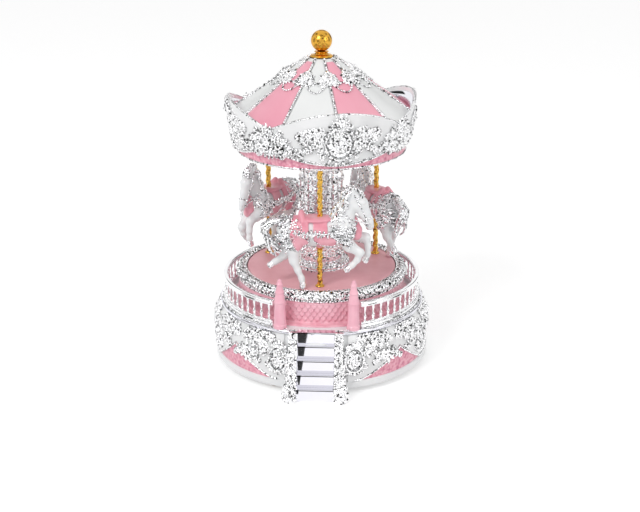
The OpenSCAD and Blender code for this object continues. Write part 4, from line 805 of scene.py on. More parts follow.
def in_rows(name, part, material, count, radius, low, rows=1, rise=0.0, start=0.0, span=360.0):
    """A piece made of copies of a part in rows round the axis; angles in degrees from the stairs."""
    piece = mesh_object(name, *part, material)
    return made_by(rows_round_axis, piece, {"Count": count, "Rows": rows, "Radius": radius * MM,
        "First Height": low * MM, "Row Height": rise * MM, "Start": math.radians(start - 90),
        "Span": math.radians(span), "Material": material})


scale_pink = painted("scale_pink", (0.88, 0.42, 0.51), (0.96, 0.55, 0.63), 0.3, 1.2, 0.05, 0.35)
scale_count = int(2 * math.pi * DRUM_R / SCALE_W)
scale_rise = (DRUM_H - 3.2) / (SCALE_ROWS - 1)
drum_scales = in_rows("drum_scales", scale_tile(SCALE_W * 1.02, 3.4, 0.55), scale_pink, scale_count,
    DRUM_R + 0.02, DECK_Z + 1.9, SCALE_ROWS, scale_rise)
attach(drum_scales, "base")
dress("platform_drum", scale_pink)

# Cornice: a cast and plated ring glued on the drum, round the turntable. Curled leaves stand round its
# face above a line of beads, and a second row of leaves lies on its top.
CORNICE_R = 44.8
CORNICE_Z = DECK_Z + DRUM_H
CORNICE_H = 5.4
CORNICE_W = 4.2


def upright(parts):
    """Turns flat relief (u, v, w) to face +X."""
    points, faces = together(parts)
    return np.column_stack([points[:, 2], points[:, 0], points[:, 1]]), faces


cornice_chrome = filigree_painted_shade("cornice_chrome", CHROME, 0.06, 0.9, 0.36, 0.425)
dress("cornice_ring", cornice_chrome)
motif = [leaf((0, -1.2), 2.9, 1.9, 0.0, 0.7), leaf((0.3, -1.0), 2.4, 1.4, -0.9, 0.8),
    leaf((-0.3, -1.0), 2.4, 1.4, 0.9, 0.8), dome((0, -1.2), (0.5, 0.5, 1.1))]
cornice_leaves = in_rows("cornice_leaves", upright(motif), cornice_chrome, 92, CORNICE_R + 0.25,
    CORNICE_Z + 3.0)
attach(cornice_leaves, "base")
bead_pad = upright([dome((0, 0), (0.62, 0.62, 0.55))])
cornice_beads = in_rows("cornice_beads", bead_pad, cornice_chrome, 190, CORNICE_R + 0.35, CORNICE_Z + 0.9)
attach(cornice_beads, "base")
motif = [leaf((0, -1.9), 3.4, 1.9, 0.25, 0.5), leaf((0.5, -1.6), 2.4, 1.3, -1.1, 0.6),
    dome((-0.6, 1.0), (0.6, 0.6, 0.8)), dome((0.5, -1.5), (0.5, 0.5, 0.9))]
points, faces = together(motif)
top_motif = (np.column_stack([-points[:, 1], points[:, 0], points[:, 2]]), faces)
cornice_top = in_rows("cornice_top_leaves", top_motif, cornice_chrome, 104, CORNICE_R - CORNICE_W / 2,
    CORNICE_Z + CORNICE_H - 0.15)
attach(cornice_top, "base")

# Railing: a plated casting of turned balusters between a foot rail and a hand rail. It's glued to the deck
# near its edge, and is open at the stairs, where it ends beside the gate posts.
RAIL_R = 52.2
RAIL_H = 14.3
RAIL_FOOT_H = 3.3
RAIL_CAP_H = 2.8
RAIL_W = 2.2
GATE_DEG = 42.5
BALUSTERS = 58
POST_R = 3.5
POST_GAP = 0.2
RAIL_STEPS = 170
post_half_deg = math.degrees(math.asin((POST_R + POST_GAP) / RAIL_R))
rail_start = GATE_DEG / 2 + post_half_deg
rail_span = 360 - 2 * rail_start
rail_chrome = plated("rail_chrome", CHROME, 0.05, 0.45, 0.10)


def sweep(profile, start, span, steps):
    """A closed (radius, height) section carried round the axis, with flat ends."""
    n = len(profile)
    angles = np.radians(np.linspace(start - 90, start - 90 + span, steps))
    points = [(r * math.cos(a), r * math.sin(a), z) for a in angles for r, z in profile]
    faces = [(k * n + i, (k + 1) * n + i, (k + 1) * n + (i + 1) % n, k * n + (i + 1) % n)
        for k in range(steps - 1) for i in range(n)]
    last = (steps - 1) * n
    return points, faces + [tuple(range(n)), tuple(range(last + n - 1, last - 1, -1))]


def moulded(low, h, w):
    """Section of a rail with rounded edges and a sunk face."""
    a, b, e, sunk = RAIL_R - w / 2, RAIL_R + w / 2, 0.35, 0.3
    return [(a + e, low), (b - e, low), (b, low + e), (b, low + h * 0.3), (b - sunk, low + h * 0.38),
        (b - sunk, low + h * 0.62), (b, low + h * 0.7), (b, low + h - e), (b - e, low + h), (a + e, low + h),
        (a, low + h - e), (a, low + e)]


rails = []
for low, h in ((DECK_Z + 0.03, RAIL_FOOT_H), (DECK_Z + 0.03 + RAIL_H - RAIL_CAP_H, RAIL_CAP_H)):
    rails.append(sweep(moulded(low, h, RAIL_W), rail_start, rail_span, RAIL_STEPS))
rail_bars = mesh_object("rail_bars", *together(rails), rail_chrome)
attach(rail_bars, "base")
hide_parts("railing")
opening = RAIL_H - RAIL_FOOT_H - RAIL_CAP_H + 0.3
turned = ((0.02, 0), (0.95, 0), (0.95, 0.5), (0.6, 0.9), (0.75, 1.5), (0.98, 2.5), (0.9, 3.4), (0.55, 4.4),
    (0.5, 5.2), (0.62, 6.2), (0.9, 7.0), (0.72, 7.6), (0.95, 8.0), (0.95, opening), (0.02, opening))
balusters = in_rows("balusters", lathe(turned, 10), rail_chrome, BALUSTERS, RAIL_R,
    DECK_Z + RAIL_FOOT_H - 0.1, start=rail_start, span=rail_span)
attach(balusters, "base")
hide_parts("railing")

# Gate posts: two tapering posts with turned rings, moulded in glossy pink plastic and glued to the deck
# beside the top of the stairs.
post_pink = painted("post_pink", (0.90, 0.44, 0.54), (0.95, 0.52, 0.61), 0.28, 0.5, 0.03, 0.4)
dress("gate_post_left", post_pink)
dress("gate_post_right", post_pink)

# Turntable: a moulded disc in satin pink that turns inside the cornice and carries the column and the
# poles. Its hub goes down through the drum to the movement.
disc_pink = painted("disc_pink", (0.80, 0.385, 0.43), (0.87, 0.455, 0.50), 0.5, 0.4, 0.003, 0.05)
dress("turntable", disc_pink)

# Column: a plated shaft with trailing scrolls and roses, on a round foot and under a capital. The three
# castings are held between the turntable and the canopy by the rod through their middle.
COLUMN_R = 11.3
DISC_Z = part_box("turntable")[1].z / MM
column_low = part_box("column")[0].z / MM
column_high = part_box("column")[1].z / MM
column_chrome = filigree_painted_shade("column_chrome", (0.97, 0.965, 0.985), 0.05, 0.8, 0.3, 0.35)
for node in ("column", "column_base", "column_capital"):
    dress(node, column_chrome)
VINES = 12
SCROLLS = 9
vine = []
for k in range(VINES):
    flat = []
    for i in range(SCROLLS):
        v = 3 + i * (column_high - column_low - 8) / (SCROLLS - 1)
        way = 1 if (i + k) % 2 else -1
        flat += scroll((way * 0.9, v), 1.25, 1.2, math.pi / 2 * way, way, 0.42, 0.1)
        flat.append(leaf((-way * 0.5, v - 0.6), 2.6, 1.3, way * 0.9, 0.6, 0.05))
        flat.append(leaf((way * 0.4, v + 1.4), 2.2, 1.1, -way * 1.2, 0.6, 0.05))
        if i % 3 == 1:
            flat += rose((-way * 0.9, v + 1.2), 1.2, 0.2, 5, 0.8)
    deg = 360 / VINES * (k + 0.5)
    vine += wrap(flat, deg, column_low, lambda z: np.full(np.shape(z), COLUMN_R - 0.25))
column_vine = mesh_object("column_scrolls", *together(vine), ornament_chrome)
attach(column_vine, "carousel")
motif = [leaf((0, -1.4), 3.0, 1.9, 0.0, 0.8), dome((0, -1.4), (0.6, 0.6, 0.9))]
collar_leaves = in_rows("column_foot_leaves", upright(motif), ornament_chrome, 30, 14.0, DISC_Z + 2.0)
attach(collar_leaves, "carousel")

# Poles: twisted sleeves in gold plate over steel rods, each with a turned foot on the disc and collars
# under and over the horse. The rods are screwed between the turntable and the canopy's ceiling.
POLE_D = 2.9
gold = filigree_painted_shade("pole_gold", (0.84, 0.50, 0.10), 0.14, 0.9, 0.16, 0.37)
belly_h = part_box("lower_sleeves")[1].z / MM - DISC_Z
saddle_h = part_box("upper_sleeves")[0].z / MM - DISC_Z
ceiling_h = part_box("upper_sleeves")[1].z / MM - DISC_Z


def twisted_pole(low, high):
    """A bar of three round strands laid round each other."""
    steps = int((high - low) / 0.42)
    path = [(0, 0, low + (high - low) * i / steps) for i in range(steps + 1)]
    return tube(path, POLE_D / 2 * 0.86, 14, 3, 4.4)


def collar(base_h, *outline):
    """A turned collar on a pole; its outline's heights are from a base height."""
    return lathe([(r, base_h + z) for r, z in outline], 28)


lower = [twisted_pole(0.7, belly_h - 1.2),
    collar(0, (0.3, 0.05), (2.4, 0.05), (2.4, 0.45), (2.0, 0.75), (1.6, 0.9), (1.5, 1.3), (0.3, 1.3)),
    collar(belly_h, (0.3, -2.2), (1.3, -2.2), (1.5, -1.6), (1.9, -1.1), (2.35, -0.6), (2.4, 0), (0.3, 0))]
upper = [twisted_pole(saddle_h + 0.6, ceiling_h),
    collar(saddle_h, (0.3, 0), (1.85, 0), (1.85, 0.5), (1.5, 0.9), (0.3, 0.9))]
POLE_R = 34.0
POLE_DEG = 1.5
HORSES = {"front": 0, "right": 1, "left": 2}


def at_pole(points, which):
    """Turns points of one horse or pole to their place on the disc."""
    turn = math.radians(POLE_DEG + HORSES[which] * 360 / len(HORSES))
    c, s = math.cos(turn), math.sin(turn)
    points = np.asarray(points, float)
    x, y = points[:, 0], points[:, 1] - POLE_R
    return np.column_stack([x * c - y * s, x * s + y * c, points[:, 2] + DISC_Z])


for label, parts, node in (("lower", lower, "lower_sleeves"), ("upper", upper, "upper_sleeves")):
    placed = [(at_pole(points, which), faces) for which in HORSES for points, faces in parts]
    sleeves = mesh_object(f"{label}_twisted_poles", *together(placed), gold)
    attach(sleeves, "carousel")
    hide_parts(node)

# Horses: three leaping horses, cast in white and set on their poles. Body, hooves, mane and tail are
# separate castings; the hair and hooves are plated. Each is shaped from rounded limbs that flow together.
CARVE_STEP = 0.42
HAIR_STEP = 0.38
SIDE_FLATTEN = 0.86


class Clay:
    """A block of space on a grid that rounded shapes are pressed together in; below zero is inside."""

    def __init__(self, low, high, step):
        self.low = np.array(low, np.float32)
        self.step = step
        axes = [np.arange(a, b + step, step, dtype=np.float32) for a, b in zip(low, high)]
        self.x, self.y, self.z = np.meshgrid(*axes, indexing="ij", sparse=True)
        self.depth = np.full(np.broadcast_shapes(self.x.shape, self.y.shape, self.z.shape), 9.0, np.float32)

    def cone(self, a, b, flat=1.0):
        """Distance to a rounded cone between points [x, y, z, radius]; flat narrows it across y."""
        ax, ay, az, ar = a
        dx, dy, dz = b[0] - ax, (b[1] - ay) / flat, b[2] - az
        px, py, pz = self.x - ax, (self.y - ay) / flat, self.z - az
        along = np.clip((px * dx + py * dy + pz * dz) / max(dx * dx + dy * dy + dz * dz, 1e-6), 0, 1)
        far = np.sqrt((px - along * dx) ** 2 + (py - along * dy) ** 2 + (pz - along * dz) ** 2)
        return (far - (ar + along * (b[3] - ar))) * min(1.0, flat * 1.1)

    def blob(self, at, size):
        """Distance to an ellipsoid."""
        px, py, pz = (self.x - at[0]) / size[0], (self.y - at[1]) / size[1], (self.z - at[2]) / size[2]
        unit = np.sqrt(px * px + py * py + pz * pz) + 1e-6
        slope = np.sqrt((px / size[0]) ** 2 + (py / size[1]) ** 2 + (pz / size[2]) ** 2) + 1e-6
        return unit * (unit - 1) / slope

    def join(self, shape, soft):
        """Adds a shape, with a rounded joint of the softness."""
        blend = np.clip(0.5 + 0.5 * (self.depth - shape) / soft, 0, 1)
        self.depth = self.depth * (1 - blend) + shape * blend - soft * blend * (1 - blend)

    def chain(self, points, soft, flat=1.0):
        """Adds a limb of rounded cones through the points."""
        for a, b in zip(points, points[1:]):
            self.join(self.cone(a, b, flat), soft)

    def cut(self, shape, soft):
        """Takes a shape away, with a rounded edge."""
        blend = np.clip(0.5 - 0.5 * (self.depth + shape) / soft, 0, 1)
        self.depth = self.depth * (1 - blend) - shape * blend + soft * blend * (1 - blend)

    def keep(self, shape):
        """Keeps only what lies inside a shape, with a sharp edge."""
        self.depth = np.maximum(self.depth, shape)

    def surface(self):
        """Points and four-sided faces of the shape's skin."""
        d = self.depth
        inside = d < 0
        shape = np.array(d.shape) - 1
        corner = [(i, j, k) for i in (0, 1) for j in (0, 1) for k in (0, 1)]

        def at(c, grid):
            """The grid as each cell sees it at one of its corners."""
            return grid[c[0]:c[0] + shape[0], c[1]:c[1] + shape[1], c[2]:c[2] + shape[2]]

        count = sum(at(c, inside).astype(np.int8) for c in corner)
        cells = np.argwhere((count > 0) & (count < 8))
        number = np.full(shape, -1, np.int64)
        number[tuple(cells.T)] = np.arange(len(cells))
        total = np.zeros((len(cells), 3))
        hits = np.zeros(len(cells))
        for c in corner:
            for axis in range(3):
                if c[axis]:
                    continue
                other = list(c)
                other[axis] = 1
                da = d[tuple((cells + c).T)]
                db = d[tuple((cells + other).T)]
                cross = (da < 0) != (db < 0)
                share = np.where(cross, da / np.where(cross, da - db, 1), 0)
                point = np.tile(np.array(c, float), (len(cells), 1))
                point[:, axis] = share
                total[cross] += point[cross]
                hits[cross] += 1
        points = (cells + total / hits[:, None]) * self.step + self.low
        faces = []
        for axis in range(3):
            u, v = [a for a in range(3) if a != axis]
            first = [slice(None)] * 3
            second = [slice(None)] * 3
            first[axis], second[axis] = slice(None, -1), slice(1, None)
            a, b = inside[tuple(first)], inside[tuple(second)]
            for start, flip in ((a & ~b, axis == 1), (b & ~a, axis != 1)):
                edge = np.argwhere(start)
                eu, ev = edge[:, u], edge[:, v]
                edge = edge[(eu > 0) & (ev > 0) & (eu < shape[u]) & (ev < shape[v])]
                ring = []
                for du, dv in ((-1, -1), (0, -1), (0, 0), (-1, 0)):
                    cell = edge.copy()
                    cell[:, u] += du
                    cell[:, v] += dv
                    ring.append(number[tuple(cell.T)])
                quad = np.stack(ring, 1)
                faces.append(quad[:, ::-1] if flip else quad)
        return points, np.concatenate(faces)


TRUNK = [[-15, 0, 30.4, 7.2], [-8, 0, 29.8, 7.1], [0, 0, 29.4, 7.0], [7, 0, 29.9, 7.1], [12, 0, 31.2, 6.9]]
NECK = [[11.2, 0, 33.4, 6.2], [12.4, 0, 38, 4.8], [13.8, 0, 43, 3.7], [15.8, 0, 48, 3.3]]
HEAD = [[17, 0, 49, 3.4], [20.4, 0, 44.8, 3.9], [22.8, 0, 39.8, 2.9], [24.7, 0, 35.4, 2.3],
    [25.7, 0, 32.8, 1.9]]
LEGS = {
    "near_hind": [[-14.5, -2.6, 28.4, 5.3], [-13.6, -3.5, 21.6, 3.9], [-13.2, -3.7, 15.4, 2.5],
        [-11.2, -3.7, 10, 1.6], [-9.4, -3.7, 5.8, 1.45], [-8.9, -3.7, 3.4, 1.6]],
    "far_hind": [[-15, 2.6, 28.6, 5.2], [-16.2, 3.4, 20.8, 3.5], [-18.2, 3.6, 15.8, 2.2],
        [-21.2, 3.6, 13.2, 1.5], [-23.2, 3.6, 12, 1.5], [-24.2, 3.6, 11.3, 1.6]],
    "near_fore": [[11.4, -3, 28.4, 4.8], [15.2, -3.7, 23.4, 3.1], [20.6, -3.9, 20, 2.1],
        [19.2, -3.9, 15.9, 1.5], [16.8, -3.9, 13.2, 1.4], [15.6, -3.9, 12.2, 1.5]],
    "far_fore": [[12.4, 3, 29.6, 4.8], [17.6, 3.6, 26.8, 2.9], [23.6, 3.8, 25.6, 2.2],
        [24.7, 3.8, 20.4, 1.5], [24.6, 3.8, 16.6, 1.4], [24.2, 3.8, 15.2, 1.5]],
}
HOOVES = {"near_hind": [-8.7, -3.7, 1.3], "far_hind": [-25.7, 3.6, 9.9], "near_fore": [13.8, -3.9, 10.5],
    "far_fore": [23.3, 3.8, 12.8]}
CLAY_LOW, CLAY_HIGH = (-30, -9, -0.2), (30, 9, 55)


def press_body(clay, swell=0.0, with_head=True):
    """The horse's body without ears, hair and hooves; swell makes it thicker all over."""
    limbs = [(TRUNK, 2.5, SIDE_FLATTEN), (NECK, 2.4, 0.74)]
    if with_head:
        limbs.append((HEAD, 1.2, 0.72))
    limbs += [(leg, 1.3, 1.0) for leg in LEGS.values()]
    for limb, soft, flat in limbs:
        clay.chain([[x, y, z, r + swell] for x, y, z, r in limb], soft, flat)


# On each side: the ear, brow, eye socket, eye, nostril, cheek, shoulder, and the folds of shoulder and
# haunch. Then the mouth and the hollow of the throat.
clay = Clay(CLAY_LOW, CLAY_HIGH, CARVE_STEP)
press_body(clay)
for y in (-1, 1):
    clay.join(clay.cone([16.6, y * 1.7, 51.4, 1.15], [16.4, y * 2.3, 54, 0.35], 0.8), 0.7)
    clay.join(clay.blob((21.6, y * 2.2, 46.3), (1.5, 0.9, 1.0)), 0.6)
    clay.cut(clay.blob((22.0, y * 3.25, 45.7), (1.0, 0.62, 0.62)), 0.3)
    clay.join(clay.blob((22.0, y * 2.75, 45.7), (0.72, 0.5, 0.5)), 0.12)
    clay.cut(clay.blob((26.6, y * 1.5, 33.6), (0.6, 0.5, 0.8)), 0.4)
    clay.cut(clay.cone([18.6, y * 3.3, 42.2, 0.4], [20.6, y * 3.1, 40.2, 0.3]), 0.8)
    clay.join(clay.blob((12, y * 4.4, 33), (4.4, 1.9, 5.6)), 1.6)
    clay.cut(clay.cone([7.4, y * 6.9, 33.8, 0.5], [8.6, y * 6.6, 27.4, 0.5]), 1.6)
    clay.cut(clay.cone([-9.4, y * 6.9, 32.4, 0.5], [-9.8, y * 6.6, 26.4, 0.5]), 1.6)
clay.cut(clay.cone([26.6, -2.4, 32.3, 0.22], [26.6, 2.4, 32.3, 0.22]), 0.3)
clay.cut(clay.cone([19.2, 0, 31.4, 0.5], [19, 0, 26, 0.4]), 1.4)
horse_points, horse_faces = clay.surface()

HAIR_LOW, HAIR_HIGH = (-31, -6, 12), (30, 6, 56)
hair = Clay(HAIR_LOW, HAIR_HIGH, HAIR_STEP)


def lock(points, thick, wave, turn):
    """One wavy lock of hair through points, thin at its end."""
    path = np.array(points, float)
    spots = np.linspace(0, len(path) - 1, 9)
    line = np.stack([np.interp(spots, np.arange(len(path)), path[:, i]) for i in range(3)], 1)
    size = thick * np.interp(spots / spots[-1], [0, 0.3, 0.75, 1], [0.75, 1, 0.8, 0.35])
    line[:, 0] += wave * np.sin(spots * 2.6 + turn)
    line[:, 2] += 0.5 * wave * np.cos(spots * 2.3 + turn)
    rows = np.column_stack([line, size]).tolist()
    for a, b in zip(rows, rows[1:]):
        hair.join(hair.cone(a, b), 0.28)


# The mane: a pair of side locks and a crest lock from each root down the neck. Then the forelock and the
# tail.
MANE_ROOTS, TAIL_LOCKS = 9, 11
for k in range(MANE_ROOTS):
    share = k / (MANE_ROOTS - 1)
    root = np.array([16.9 - 7.8 * share ** 1.15, 0, 51.8 - 14 * share])
    for y in (-1, 1):
        fall = 5.2 + 2.2 * math.sin(math.pi * share)
        lock([root + (0.2, y * 0.5, 0), root + (-2.6, y * 2.4, 0.4 - 0.2 * fall),
            root + (-3.6 + 0.8 * share, y * 3.5, -0.62 * fall), root + (-2.4 + share, y * 3.9, -1.15 * fall)],
            1.05, 0.55, k * 1.9 + y)
    lock([root + (0.4, 0, 0.2), root + (-3.0, 0, 0.9), root + (-4.9, 0, -1.4),
        root + (-5.2 + share, 0, -4.6)], 1.25, 0.5, k * 1.4)
for y in (-1, 0, 1):
    lock([(15.8, y * 0.6, 52.2), (18.6, y * 1.1, 52.9), (20.9, y * 1.7, 50.6), (22.4, y * 1.5, 47.8)],
        0.8, 0.3, y * 2.0)
for k in range(TAIL_LOCKS):
    y = (k - 5) / 5
    low = 18.5 + 5 * (k * 7 % TAIL_LOCKS) / TAIL_LOCKS
    back = -27.6 - 1.2 * (k * 5 % 3)
    lock([(-18.6, y * 1.2, 36.2), (-23, y * 2.0, 37.2 - 0.8 * abs(y)), (back, y * 2.6, 33 - 2 * abs(y)),
        (-27.8, y * 2.9, 27), (-25.4 + (k % 3), y * 2.7, low + 2.5), (-22.6 + (k % 4), y * 1.8, low - 1.6)],
        1.25, 0.7, k * 1.3)
body_like = Clay(HAIR_LOW, HAIR_HIGH, HAIR_STEP)
press_body(body_like, -0.35)
hair.keep(-body_like.depth)
hair_points, hair_faces = hair.surface()

# Each hoof is a short cone on from the ankle, cut off flat at its sole.
hoof_clay = Clay((-29, -6, 0), (28, 6, 18), HAIR_STEP)
for name, leg in LEGS.items():
    tip = HOOVES[name]
    ankle = leg[-1]
    reach = np.array(tip) - ankle[:3]
    start = (np.array(ankle[:3]) - 0.1 * reach).tolist() + [ankle[3] * 1.02]
    hoof_clay.join(hoof_clay.cone(start, tip + [ankle[3] * 1.22]), 0.1)
    end = np.array(tip) + 0.62 * reach
    unit = reach / np.linalg.norm(reach)
    x, y, z = hoof_clay.x, hoof_clay.y, hoof_clay.z
    sole = (x - end[0]) * unit[0] + (y - end[1]) * unit[1] + (z - end[2]) * unit[2]
    near = np.sqrt((x - tip[0]) ** 2 + (y - tip[1]) ** 2 + (z - tip[2]) ** 2) - 6
    hoof_clay.cut(np.maximum(-sole, near), 0.15)
hoof_clay.keep(0.25 - hoof_clay.z)
hoof_points, hoof_faces = hoof_clay.surface()

horse_enamel, tree, shader = finish_of("horse_enamel", (0.86, 0.87, 0.88), 0.24)
shader.inputs["Coat Weight"].default_value = 0.5
shader.inputs["Coat Roughness"].default_value = 0.08
shader.inputs["Subsurface Weight"].default_value = 0.06
shader.inputs["Subsurface Radius"].default_value = (0.0012, 0.001, 0.0009)
place = lay_detail(tree, shader, 0.5, 0.06)
vary(tree, shader, place, 0.35, (0.84, 0.855, 0.87), (0.88, 0.885, 0.89))

PLATING = (0.93, 0.93, 0.945)
hair_plating = filigree_painted_shade("hair_plating", PLATING, 0.06, 1.0, 0.3, 0.385)
hoof_plating, tree, shader = finish_of("hoof_plating", PLATING, 0.06, 1.0)
lay_detail(tree, shader, 0.8, 0.12, 1.0, (0.5, 0.5, 2.0))

for which in HORSES:
    body = mesh_object(f"horse_body_{which}", at_pole(horse_points, which), horse_faces, horse_enamel)
    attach(body, "carousel")
    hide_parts(f"horse_{which}")
    plated_hair = mesh_object(f"mane_and_tail_{which}", at_pole(hair_points, which), hair_faces, hair_plating)
    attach(plated_hair, "carousel")
    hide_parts(f"horse_{which}")
    plated_hooves = mesh_object(f"hooves_{which}", at_pole(hoof_points, which), hoof_faces, hoof_plating)
    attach(plated_hooves, "carousel")
    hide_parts(f"horse_{which}")

# Saddles: a pink moulding on each horse, with a high-backed seat, a blanket, a girth and a bib. Plated
# castings are glued over it: beaded borders, roses and leaves, breast band, bridle, reins and plume.
saddle_pink = painted("saddle_pink", (0.80, 0.28, 0.36), (0.92, 0.44, 0.52), 0.3, 0.6, 0.05, 0.4)


def in_outline(clay, outline):
    """Distance in the side view to a closed outline of (x, z) points, below zero inside."""
    x, z = np.broadcast_arrays(clay.x[:, 0, :], clay.z[:, 0, :])
    best = np.full(x.shape, 1e9)
    inside = np.zeros(x.shape, bool)
    for (ax, az), (bx, bz) in zip(outline, outline[1:] + outline[:1]):
        t = np.clip(((x - ax) * (bx - ax) + (z - az) * (bz - az)) / ((bx - ax) ** 2 + (bz - az) ** 2), 0, 1)
        best = np.minimum(best, np.hypot(x - ax - t * (bx - ax), z - az - t * (bz - az)))
        inside ^= ((az > z) != (bz > z)) & (x < (bx - ax) * (z - az) / np.where(bz == az, 1e-9, bz - az) + ax)
    return np.where(inside, -best, best).astype(np.float32)[:, None, :]


SADDLE_LOW, SADDLE_HIGH, SADDLE_STEP = (-23, -8.5, 18), (20, 8.5, 46), 0.36
skin = Clay(SADDLE_LOW, SADDLE_HIGH, SADDLE_STEP)
press_body(skin, with_head=False)
body_depth = skin.depth


def shell(outline, low, high, soft=0.5):
    """A rounded sheet on the body between two depths, cut to an outline seen from the side."""
    made = Clay(SADDLE_LOW, SADDLE_HIGH, SADDLE_STEP)
    edge = in_outline(made, outline)
    blend = np.clip(0.5 - 0.5 * ((body_depth - high) - edge) / soft, 0, 1)
    top = edge * blend + (body_depth - high) * (1 - blend) + soft * blend * (1 - blend)
    made.depth = np.maximum(top, low - body_depth)
    return made


FRONT_PAD = [(-3.6, 41), (-3.0, 27), (1, 24.2), (6.5, 23.6), (9.6, 25.6), (7.8, 29), (4.2, 31.2), (3.6, 41)]
REAR_PAD = [(-13.6, 41), (-15.4, 34), (-15.0, 29), (-12.6, 23.0), (-10.8, 21.4), (-7.6, 24.2), (-5.6, 25.2),
    (-5.2, 31), (-6.0, 41)]
GIRTH = [(-1.6, 30), (-1.4, 20), (1.4, 20), (1.6, 30)]
UNDERSIDE, FRONT_PAD_OUT, REAR_PAD_OUT, GIRTH_OUT = 0.12, 0.75, 0.85, 0.5
seat = shell(FRONT_PAD, UNDERSIDE, FRONT_PAD_OUT)
seat.depth = np.minimum(seat.depth, shell(REAR_PAD, UNDERSIDE, REAR_PAD_OUT).depth)
seat.depth = np.minimum(seat.depth, shell(GIRTH, UNDERSIDE, GIRTH_OUT).depth)
body_top = 36.6
seat.join(seat.blob((-1.6, 0, body_top + 0.4), (8.8, 6.0, 1.7)), 0.8)
for y in (-1, 1):
    seat.join(seat.cone([-8.4, y * 4.8, body_top - 0.4, 1.4], [-9.4, y * 1.6, body_top + 2.8, 1.6], 0.9), 1.0)
    seat.join(seat.cone([5.6, y * 2.4, body_top - 0.4, 0.9], [6.6, 0, body_top + 1.5, 1.0], 0.9), 0.8)
    seat.join(seat.cone([-2.6, y * 6.0, 33, 0.5], [-0.4, y * 6.9, 28.6, 0.7]), 0.5)
seat.cut(seat.blob((-1.6, 0, body_top + 3.7), (6.4, 7.2, 2.2)), 0.8)
seat.keep(0.1 - body_depth)
seat_points, seat_faces = seat.surface()


def on_flank(x, z, lift, side):
    """The point of the horse's flank at x and z on one side, with a lift off the skin."""
    ys = np.linspace(0, 8.4, 60)
    i = int(round((x - SADDLE_LOW[0]) / SADDLE_STEP))
    k = int(round((z - SADDLE_LOW[2]) / SADDLE_STEP))
    j = np.round((side * ys - SADDLE_LOW[1]) / SADDLE_STEP).astype(int)
    i, k = min(max(i, 0), body_depth.shape[0] - 1), min(max(k, 0), body_depth.shape[2] - 1)
    d = body_depth[i, np.clip(j, 0, body_depth.shape[1] - 1), k]
    out = np.nonzero(d > lift)[0]
    return (x, side * (ys[out[0]] if len(out) else 0.2), z)


def on_horse(parts, x, z, side):
    """Lays flat relief (u along, v up, w out) on the horse's flank at x and z."""
    out = []
    for points, faces in parts:
        placed = [on_flank(x + u, z + v, w, side) for u, v, w in points]
        out.append((placed, faces if side < 0 else [tuple(reversed(f)) for f in faces]))
    return out


def bead(at, r):
    """A small ball."""
    sides, rings = 6, ((0.78, -0.62), (1.0, 0.0), (0.78, 0.62))
    x, y, z = at
    points = [(x, y, z - r)]
    for w, h in rings:
        for t in np.linspace(0, 2 * math.pi, sides + 1)[:-1]:
            points.append((x + r * w * math.cos(t), y + r * w * math.sin(t), z + r * h))
    points.append((x, y, z + r))
    faces = [(0, 1 + (i + 1) % sides, 1 + i) for i in range(sides)]
    last = 1 + sides * (len(rings) - 1)
    for a in range(1, last, sides):
        b = a + sides
        faces += [(a + i, a + (i + 1) % sides, b + (i + 1) % sides, b + i) for i in range(sides)]
    faces += [(last + i, last + (i + 1) % sides, last + sides) for i in range(sides)]
    return points, faces


def along(line, gap):
    """Points at even gaps along a line of flat points."""
    line = np.array(line, float)
    run = np.concatenate([[0], np.cumsum(np.linalg.norm(np.diff(line, axis=0), axis=1))])
    spots = np.arange(gap / 2, run[-1], gap)
    return np.column_stack([np.interp(spots, run, line[:, i]) for i in range(line.shape[1])])


# On each flank: beaded borders, roses with five leaves each (on the haunch, then on the shoulder), a row of
# small roses along the blanket, and the two bead lines of the breast band with tassels under them.
BORDERS = ((FRONT_PAD[1:7], FRONT_PAD_OUT), (REAR_PAD[1:8], REAR_PAD_OUT),
    ([(-9.5, 37), (-8.8, 30), (-5.0, 26.5)], 0.9), ([(-14.2, 33), (-9.6, 32.4)], 0.9))
FLANK_ROSES = ((-17.2, 31.2, 2.6), (-13.4, 35.2, 2.1), (-19.6, 27.4, 2.0), (-14.0, 27.2, 1.9),
    (-18.4, 35.4, 1.8), (-16.4, 23.6, 1.7), (12.6, 30.4, 2.3), (15.6, 33.6, 2.0), (9.8, 34.4, 1.9),
    (14.8, 27.0, 1.9), (9.4, 28.4, 1.6), (12.8, 36.6, 1.7))
BLANKET_LINE = [(-13.6, 31.6), (-8.0, 30.4), (-2.0, 31.0), (3.0, 30.4), (8.6, 31.4)]
BAND_LOW = [(6.2, 31.4), (10, 27.8), (14.6, 26.6), (17.8, 28.4)]
BAND_HIGH = [(6.0, 34.0), (10, 31.0), (14.6, 30.4), (18.2, 32.0)]
tack = []
rng = np.random.default_rng(5)
